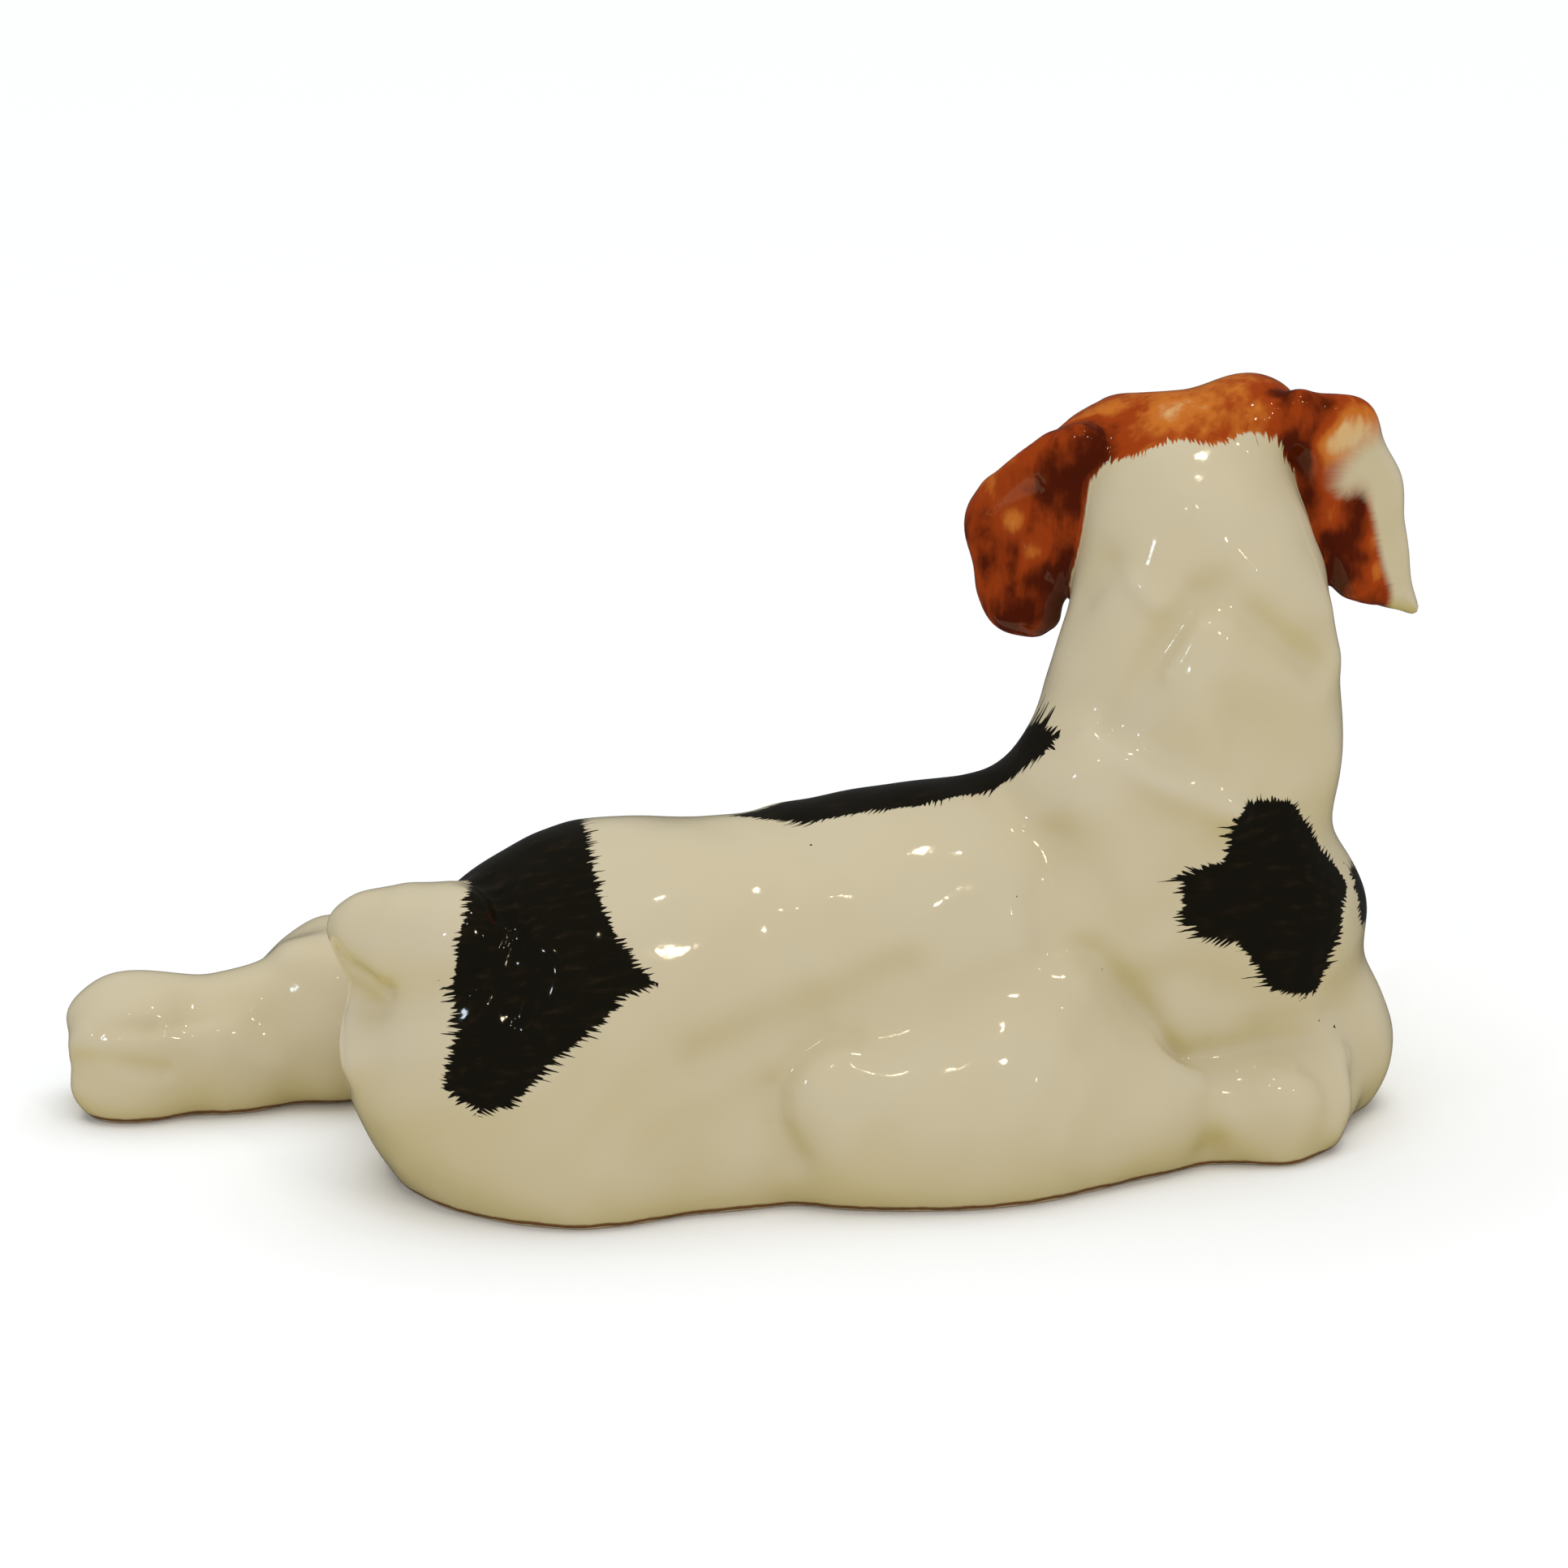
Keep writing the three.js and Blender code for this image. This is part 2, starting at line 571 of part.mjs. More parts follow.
/** All the pieces, each trimmed where a later one's facets reach into it, over the middle of the foot. */
function dogFigurine() {
  const casts = PIECES.map(castSolid);
  const dog = new THREE.Group();
  casts.forEach((cast, i) => {
    const trimmed = casts.slice(i + 1).reduce((rest, later) => rest.subtract(later), cast);
    dog.add(glazedMesh(trimmed, PIECES[i]));
  });
  const middle = new THREE.Box3().setFromObject(dog).getCenter(new THREE.Vector3());
  dog.position.set(-middle.x, -middle.y, 0);
  const figurine = new THREE.Group();
  figurine.add(dog);
  return figurine;
}

const group = dogFigurine();
export default group;
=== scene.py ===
"""A glazed pottery hound puppy that lies down and looks away over its left shoulder.

Every cast piece is skinned finely from the same masses of clay as its solid, with the finer
modelling, the underglaze painting and the clear glaze that the solids leave out.
The clay is worked in millimetres, and the finished pieces are in metres over their solids.
"""

from __future__ import annotations

import logging
import math
from concurrent.futures import ThreadPoolExecutor
from dataclasses import dataclass, field
from enum import Enum
from typing import Mapping, Protocol, Sequence

import bpy
import numpy as np
from mathutils import Matrix, Vector


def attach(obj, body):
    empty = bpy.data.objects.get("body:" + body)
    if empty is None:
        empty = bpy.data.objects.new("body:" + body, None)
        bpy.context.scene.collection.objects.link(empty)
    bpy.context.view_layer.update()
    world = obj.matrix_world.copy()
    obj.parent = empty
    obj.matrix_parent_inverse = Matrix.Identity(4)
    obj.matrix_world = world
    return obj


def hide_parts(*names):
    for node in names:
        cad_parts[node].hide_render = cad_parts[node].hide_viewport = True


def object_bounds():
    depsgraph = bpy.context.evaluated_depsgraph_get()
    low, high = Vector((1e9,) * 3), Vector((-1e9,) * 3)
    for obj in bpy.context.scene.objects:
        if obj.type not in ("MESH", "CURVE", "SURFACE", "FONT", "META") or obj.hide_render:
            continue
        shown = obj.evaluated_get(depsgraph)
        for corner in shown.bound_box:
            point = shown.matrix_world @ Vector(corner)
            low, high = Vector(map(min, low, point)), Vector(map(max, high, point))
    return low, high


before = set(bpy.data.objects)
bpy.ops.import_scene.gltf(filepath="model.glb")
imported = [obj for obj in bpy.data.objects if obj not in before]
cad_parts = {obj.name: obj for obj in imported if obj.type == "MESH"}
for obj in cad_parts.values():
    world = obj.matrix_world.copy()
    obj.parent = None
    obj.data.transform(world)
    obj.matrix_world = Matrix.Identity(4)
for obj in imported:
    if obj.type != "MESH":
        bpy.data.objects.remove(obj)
CAD_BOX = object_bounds()

LOG = logging.getLogger("puppy")

Vec = tuple[float, float, float]
Flat = tuple[float, float]
Number = float | bpy.types.NodeSocket
Paint = tuple[float, float, float, float] | bpy.types.NodeSocket
Sockets = Mapping[str, bpy.types.NodeSocket]

TINY = 1e-9
LEAST_SLOPE_SQ = 0.1
FINE_CELL = 0.5


# The clay: masses, each with its distance field


class Mass(Protocol):
    """Anything that says how far a point lies from its surface, less than 0 inside."""

    fairing: float

    def distance(self, points: np.ndarray) -> np.ndarray:
        """The signed distance of each column of points."""


def faired(first: np.ndarray, second: np.ndarray, band: float) -> np.ndarray:
    """Runs two masses together.

    Args:
        first: Distances to the clay so far.
        second: Distances to the clay that is added.
        band: Width over which the two are smoothed, in millimetres.

    Returns:
        The smaller distance, faired over the band.
    """
    if band <= 0:
        return np.minimum(first, second)
    overlap = np.maximum(band - np.abs(first - second), 0) / band
    return np.minimum(first, second) - overlap * overlap * band / 4


def length(vectors: Sequence[np.ndarray]) -> np.ndarray:
    """The length of vectors that are given as three rows."""
    return np.sqrt(vectors[0] ** 2 + vectors[1] ** 2 + vectors[2] ** 2)


@dataclass(frozen=True)
class Ball:
    """An ellipsoid of clay."""

    at: Vec
    half: Vec
    fairing: float = 0.0

    def distance(self, points: np.ndarray) -> np.ndarray:
        """Measures the ellipsoid.

        Args:
            points: Points as three rows.

        Returns:
            The signed distance of each, near enough where the ellipsoid isn't a sphere.
        """
        scaled = [(points[i] - self.at[i]) / self.half[i] for i in range(3)]
        reach = length(scaled)
        slope = length([scaled[i] / self.half[i] for i in range(3)])
        return reach * (reach - 1) / np.maximum(slope, TINY)

    def mirrored(self) -> Ball:
        """The same mass on the other side of the head."""
        return Ball((-self.at[0], self.at[1], self.at[2]), self.half, self.fairing)


@dataclass(frozen=True)
class Limb:
    """A tapering limb of clay with round ends."""

    start: Vec
    end: Vec
    radii: Flat
    fairing: float = 0.0

    def distance(self, points: np.ndarray) -> np.ndarray:
        """Measures the limb.

        Args:
            points: Points as three rows.

        Returns:
            The signed distance of each: to the cone between the ends, or to a round end.
        """
        axis = np.subtract(self.end, self.start)
        length_sq = float(axis @ axis)
        taper = self.radii[0] - self.radii[1]
        slant_sq = length_sq - taper * taper
        offset = [points[i] - self.start[i] for i in range(3)]
        along = offset[0] * axis[0] + offset[1] * axis[1] + offset[2] * axis[2]
        beyond = along - length_sq
        across_sq = sum((offset[i] * length_sq - along * axis[i]) ** 2 for i in range(3))
        along_sq = along * along * length_sq
        beyond_sq = beyond * beyond * length_sq
        cone = np.sign(taper) * taper * taper * across_sq
        side = (np.sqrt(across_sq * slant_sq / length_sq) + along * taper) / length_sq
        near_start = np.sign(along) * slant_sq * along_sq < cone
        near_end = np.sign(beyond) * slant_sq * beyond_sq > cone
        side = np.where(near_start, np.sqrt(across_sq + along_sq) / length_sq, side)
        ends = np.sqrt(across_sq + beyond_sq) / length_sq - self.radii[1]
        return np.where(near_end, ends, side - self.radii[0])


def limbs(
    route: Sequence[Vec], radii: Sequence[float], fairing: float, first: float = 0.0
) -> list[Limb]:
    """Limbs end to end along a route.

    Args:
        route: The points that the limbs join.
        radii: The radius at each point.
        fairing: How smoothly each limb runs into the one before it.
        first: How smoothly the first limb runs into the clay before it.

    Returns:
        One limb for each stretch of the route.
    """
    made = []
    for i in range(len(route) - 1):
        pair = (radii[i], radii[i + 1])
        made.append(Limb(route[i], route[i + 1], pair, fairing if i else first))
    return made


@dataclass(frozen=True)
class Worked:
    """Masses worked into one, each faired into those before it."""

    masses: Sequence[Mass]
    fairing: float = 0.0

    def distance(self, points: np.ndarray) -> np.ndarray:
        """Measures the masses together.

        Args:
            points: Points as three rows.

        Returns:
            The signed distance of each.
        """
        whole = self.masses[0].distance(points)
        for mass in self.masses[1:]:
            whole = faired(whole, mass.distance(points), mass.fairing)
        return whole


@dataclass(frozen=True)
class Axes:
    """Axes of a piece's own: a middle, and yaw, pitch and roll in degrees."""

    at: Vec
    yaw: float
    pitch: float
    roll: float

    def turn(self) -> np.ndarray:
        """Turns these axes.

        Returns:
            The matrix from these axes to the figure's.
        """
        yaw, pitch, roll = (math.radians(a) for a in (self.yaw, self.pitch, self.roll))
        turned = Matrix.Rotation(-yaw, 3, "Z") @ Matrix.Rotation(pitch, 3, "X")
        return np.array(turned @ Matrix.Rotation(-roll, 3, "Y"))

    def inside(self, points: np.ndarray) -> np.ndarray:
        """The figure's points in these axes."""
        return self.turn().T @ (points - np.reshape(self.at, (3, 1)))

    def outside(self, point: Vec) -> Vec:
        """A point of these axes in the figure's."""
        return tuple(self.turn() @ np.array(point) + np.array(self.at))


@dataclass(frozen=True)
class Turned:
    """Clay that is modelled in axes of its own."""

    mass: Mass
    axes: Axes
    fairing: float = 0.0

    def distance(self, points: np.ndarray) -> np.ndarray:
        """The signed distance of each column of points."""
        return self.mass.distance(self.axes.inside(points))


@dataclass(frozen=True)
class Stroke:
    """A crease pressed into the clay, or a ridge raised on it where its depth is less than 0."""

    depth: float
    width: float
    route: Sequence[Vec]

    def gap(self, points: np.ndarray) -> np.ndarray:
        """Measures how near the stroke passes.

        Args:
            points: Points as three rows.

        Returns:
            The distance of each to the stroke's route.
        """
        gap_sq = np.full(points.shape[1], np.inf)
        for start, end in zip(self.route[:-1], self.route[1:]):
            axis = np.subtract(end, start)
            offset = [points[i] - start[i] for i in range(3)]
            along = offset[0] * axis[0] + offset[1] * axis[1] + offset[2] * axis[2]
            share = np.clip(along / float(axis @ axis), 0, 1)
            gaps = (offset[i] - share * axis[i] for i in range(3))
            gap_sq = np.minimum(gap_sq, sum(gap * gap for gap in gaps))
        return np.sqrt(gap_sq)

    def press(self, points: np.ndarray) -> np.ndarray:
        """How far the stroke pushes the surface in at each column of points."""
        return self.depth * np.exp(-((self.gap(points) / self.width) ** 2))


# The pieces of the figure


class Slot(Enum):
    """The record's material slots."""

    IVORY = "ivory_glaze"
    RUST = "rust_glaze"


@dataclass
class CastPiece:
    """A piece of the figure that was cast in a mould of its own."""

    node: str
    join: float
    slot: Slot = Slot.IVORY

    def clay(self) -> Mass:
        """The piece's own clay."""
        raise NotImplementedError

    def mesh(self, skin: Skin) -> bpy.types.Object:
        """Cuts the piece out of the figure's skin."""
        return skin.piece(self.node)

    def dress(self, made: bpy.types.Object, glaze: bpy.types.Material) -> None:
        """Glazes the piece and puts it in its solid's place.

        Args:
            made: The piece's object.
            glaze: The glaze that covers it.
        """
        made.data.materials.append(glaze)
        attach(made, "root")
        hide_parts(self.node)


@dataclass
class Trunk(CastPiece):
    """Hips, ribs, breast and right shoulder, with the vent in the foot."""

    node: str = "body"
    join: float = 0.0
    rump: Ball = Ball((-23.5, -1, 18.5), (19.8, 19.5, 21.5))
    loin: Ball = Ball((-4, -1, 19), (36, 20.5, 20.7), 9)
    ribs: Ball = Ball((22, -1, 20.3), (32, 20, 22.5), 9)
    withers: Ball = Ball((34, 0, 37), (8.5, 10, 9.5), 5)
    brisket: Ball = Ball((50, -1, 20), (19.5, 16, 21), 9)
    breast: Ball = Ball((57, -2, 25), (14.5, 13, 11), 6)
    flank: Ball = Ball((-27, -2, 4), (20, 25.2, 14.5), 9)
    belly: Ball = Ball((-8, -2, 4), (16, 23, 14.5), 9)
    haunch: Ball = Ball((-30.5, -4.5, 15), (23.5, 19, 17), 9)
    shoulder: Limb = Limb((37, -5, 41), (56, -9, 25), (9, 10), 6)

    def clay(self) -> Mass:
        """The trunk's own clay."""
        trunk = [self.rump, self.loin, self.ribs, self.brisket, self.breast]
        return Worked([*trunk, self.withers, self.flank, self.belly, self.haunch, self.shoulder])


HEAD_AXES = Axes((53.5, 13, 71), 24, -4, 12)


@dataclass
class Head(CastPiece):
    """Neck and head, whose own axes are right, muzzle and crown."""

    node: str = "head"
    join: float = 5.0
    neck_root: Ball = Ball((51, 0, 45), (18, 16.5, 19))
    nape: Ball = Ball((44, 1, 50), (11, 10, 10), 5)
    throat: Ball = Ball((53, 4, 60), (15.4, 14, 17), 7)
    skull: Ball = Ball((0, 0, 0.6), (13.6, 14.5, 13.4))
    ear_base: Ball = Ball((9.8, 0.3, 9.3), (6, 8, 5.6), 5)
    muzzle: Limb = Limb((0, 9, -4), (0, 24, -7), (9.5, 6.2), 6)
    cheek: Ball = Ball((8.5, 5, -7), (6.5, 8, 6.5), 5)
    brow: Ball = Ball((5.5, 11.5, 5), (4, 4, 3), 3)
    lip: Ball = Ball((3.2, 21.5, -9), (3.6, 6.5, 4.5), 3)
    jaw: Limb = Limb((0, 10, -11), (0, 22, -12), (5, 3.4), 3)
    nose: Ball = Ball((0, 29.6, -4.2), (3.4, 2.6, 2.6), 1.5)
    eye: Ball = Ball((6.2, 13.4, 1.4), (2.2, 2.2, 2.2), 0.6)
    neck_fairing: float = 7.0

    def clay(self) -> Mass:
        """Works the neck and the head.

        Returns:
            Their own clay.
        """
        paired = [self.ear_base, self.cheek, self.brow, self.lip]
        masses: list[Mass] = [self.skull, self.ear_base, self.ear_base.mirrored(), self.muzzle]
        for mass in paired[1:]:
            masses += [mass, mass.mirrored()]
        masses += [self.jaw, self.nose, self.eye, self.eye.mirrored()]
        head = Turned(Worked(masses), HEAD_AXES, self.neck_fairing)
        return Worked([self.neck_root, self.nape, self.throat, head])


@dataclass
class RightForeleg(CastPiece):
    """Upper arm and forearm folded along the ribs, and the paw under the breast."""

    node: str = "right_foreleg"
    join: float = 3.5
    elbow: Limb = Limb((2, -17.5, 10.5), (20, -17, 11), (10.3, 9.8))
    arm: Limb = Limb((24, -16.5, 14), (30.5, -15, 22), (9.5, 5.8), 5)
    front: Limb = Limb((31, -15, 19), (38, -17.5, 6), (6.3, 7.6), 3)
    forearm: Limb = Limb((3, -19.2, 5), (37.5, -18.5, 5), (8.8, 8.2), 6)
    muscle: Ball = Ball((18, -20, 6), (19, 12.2, 13), 6)
    wrist: Limb = Limb((46, -17.7, 5), (56, -18.5, 5), (7.7, 7.5))
    toe: Vec = (5.9, 3.6, 6.7)
    toes_at: Sequence[Vec] = ((55.8, -22.5, 4), (58.8, -19.3, 4.5), (60.5, -15, 4.5))
    toe_fairing: float = 2.5
    paw_fairing: float = 3.0

    def clay(self) -> Mass:
        """Works the folded leg and its paw.

        Returns:
            The right foreleg's own clay.
        """
        toes = [Ball(at, self.toe, self.toe_fairing) for at in self.toes_at]
        paw = Worked([self.wrist, *toes], self.paw_fairing)
        leg = Worked([self.elbow, self.arm, self.front, self.forearm, self.muscle])
        return Worked([leg, paw])


@dataclass
class LeftForeleg(CastPiece):
    """The left foreleg, whose forearm crosses in front of the breast."""

    node: str = "left_foreleg"
    join: float = 6.0
    arm: Limb = Limb((50, 12, 24), (42, 21, 9), (11, 9))
    forearm: Limb = Limb((43, 20, 7), (65, -3, 9), (9.5, 10.2), 6)
    wrist: Ball = Ball((63.5, -5.2, 5.5), (9, 8.2, 8), 6)

    def clay(self) -> Mass:
        """The left foreleg's own clay."""
        return Worked([self.arm, self.forearm, self.wrist])


@dataclass
class RightHindLeg(CastPiece):
    """The end of the right hind leg, which comes out from under the hips."""

    node: str = "right_hind_leg"
    join: float = 3.5
    route: Sequence[Vec] = ((-30, 33, 9), (-48, 38, 11.3), (-61, 38.5, 5.5))
    radii: Sequence[float] = (9, 6.2, 5)
    fairing: float = 6.0

    def clay(self) -> Mass:
        """The right hind leg's own clay."""
        return Worked(limbs(self.route, self.radii, self.fairing))


@dataclass
class LeftHindLeg(CastPiece):
    """The left hind leg, stretched out behind with its toes."""

    node: str = "left_hind_leg"
    join: float = 3.5
    thigh: Ball = Ball((-26, 20, 13), (17, 12, 17))
    shin: Limb = Limb((-26, 27, 10), (-48, 29, 9), (12, 8.8), 6)
    hock: Ball = Ball((-51, 30, 11.9), (6.5, 6, 6.5), 6)
    pastern: Sequence[Vec] = ((-50, 29.5, 7), (-64, 29.8, 5.8), (-72.5, 30, 6.8))
    pastern_radii: Sequence[float] = (8.6, 8, 7.4)
    pastern_fairing: float = 6.0
    toes: Sequence[Ball] = (
        Ball((-73.6, 30.5, 11), (8.8, 6.2, 5.4), 2),
        Ball((-74, 26.6, 8.8), (8.8, 5.5, 5.6), 2),
        Ball((-74, 26, 4), (8.8, 5.5, 5.8), 2),
        Ball((-73.6, 34, 5.5), (8.4, 5, 6.5), 2),
    )

    def clay(self) -> Mass:
        """Works the stretched leg and its toes.

        Returns:
            The left hind leg's own clay.
        """
        fairing = self.pastern_fairing
        pastern = limbs(self.pastern, self.pastern_radii, fairing, fairing)
        return Worked([self.thigh, self.shin, self.hock, *pastern, *self.toes])


@dataclass
class Tail(CastPiece):
    """The short tapering tail."""

    node: str = "tail"
    join: float = 2.2
    route: Sequence[Vec] = (
        (-33, -8, 27), (-39.8, -7, 28), (-45.5, -4, 28.6), (-49.5, -1.8, 29.6), (-52.2, 0, 30.1)
    )
    radii: Sequence[float] = (9, 8.8, 7.3, 5.2, 3)
    fairing: float = 1.5

    def clay(self) -> Mass:
        """The tail's own clay."""
        return Worked(limbs(self.route, self.radii, self.fairing))


@dataclass
class DropEar(CastPiece):
    """A drop ear: a curled leaf of even thickness whose outline runs round its lobes."""

    node: str = "left_ear"
    join: float = 1.6
    slot: Slot = Slot.RUST
    at: Vec = (38.6, 12, 81)
    down: Vec = (-0.05, 0.1, -0.99)
    faces: Vec = (-0.66, -0.72, 0.2)
    lobes: Sequence[Vec] = ((-1.3, 1, 3.1), (10.1, 13.2, 3), (4.2, 19.7, 4.9), (1.5, 10, 6))
    lobe_fairing: float = 3.0
    thickness: float = 4.8
    curl: float = -0.012
    hang: float = 0.004
    fairing: float = 0.0

    def flat(self, points: np.ndarray) -> tuple[np.ndarray, np.ndarray, np.ndarray]:
        """Lays the ear out flat.

        Args:
            points: The figure's points, as three rows.

        Returns:
            How far across and down the ear each point lies, and how far off its middle sheet.
        """
        along = np.array(self.down) / np.linalg.norm(self.down)
        normal = np.array(self.faces) - along * (np.array(self.faces) @ along)
        normal /= np.linalg.norm(normal)
        offset = points - np.reshape(self.at, (3, 1))
        across, drop = np.cross(along, normal) @ offset, along @ offset
        lift = normal @ offset - self.curl * across**2 - self.hang * drop**2
        return across, drop, lift

    def distance(self, points: np.ndarray) -> np.ndarray:
        """Measures the ear.

        Args:
            points: Points as three rows.

        Returns:
            The signed distance of each to the leaf, whose rim is round.
        """
        across, drop, lift = self.flat(points)
        route = [(side, fall, 0.0) for side, fall, _ in self.lobes]
        radii = [radius for _, _, radius in self.lobes]
        outline = Worked(limbs(route, radii, self.lobe_fairing))
        rim = self.thickness / 2
        edge = outline.distance(np.stack([across, drop, np.zeros_like(drop)]))
        return np.hypot(np.maximum(edge + rim, 0), lift) - rim

    def clay(self) -> Mass:
        """The ear itself is its clay."""
        return self


RIGHT_EAR = DropEar(
    node="right_ear",
    at=(69.8, 6, 82.2),
    down=(0, 0.05, -1),
    faces=(0.2, -0.95, 0.2),
    lobes=(
        (4.8, -1.3, 3.6), (-0.8, 1.8, 4.7), (-2.8, 10, 6.9), (-5.1, 17.2, 5.2), (-11.4, 24, 0.9),
    ),
)
LEFT_EAR = DropEar()
PIECES: tuple[CastPiece, ...] = (
    Trunk(),
    Head(),
    RightForeleg(),
    LeftForeleg(),
    RightHindLeg(),
    LeftHindLeg(),
    Tail(),
    LEFT_EAR,
    RIGHT_EAR,
)


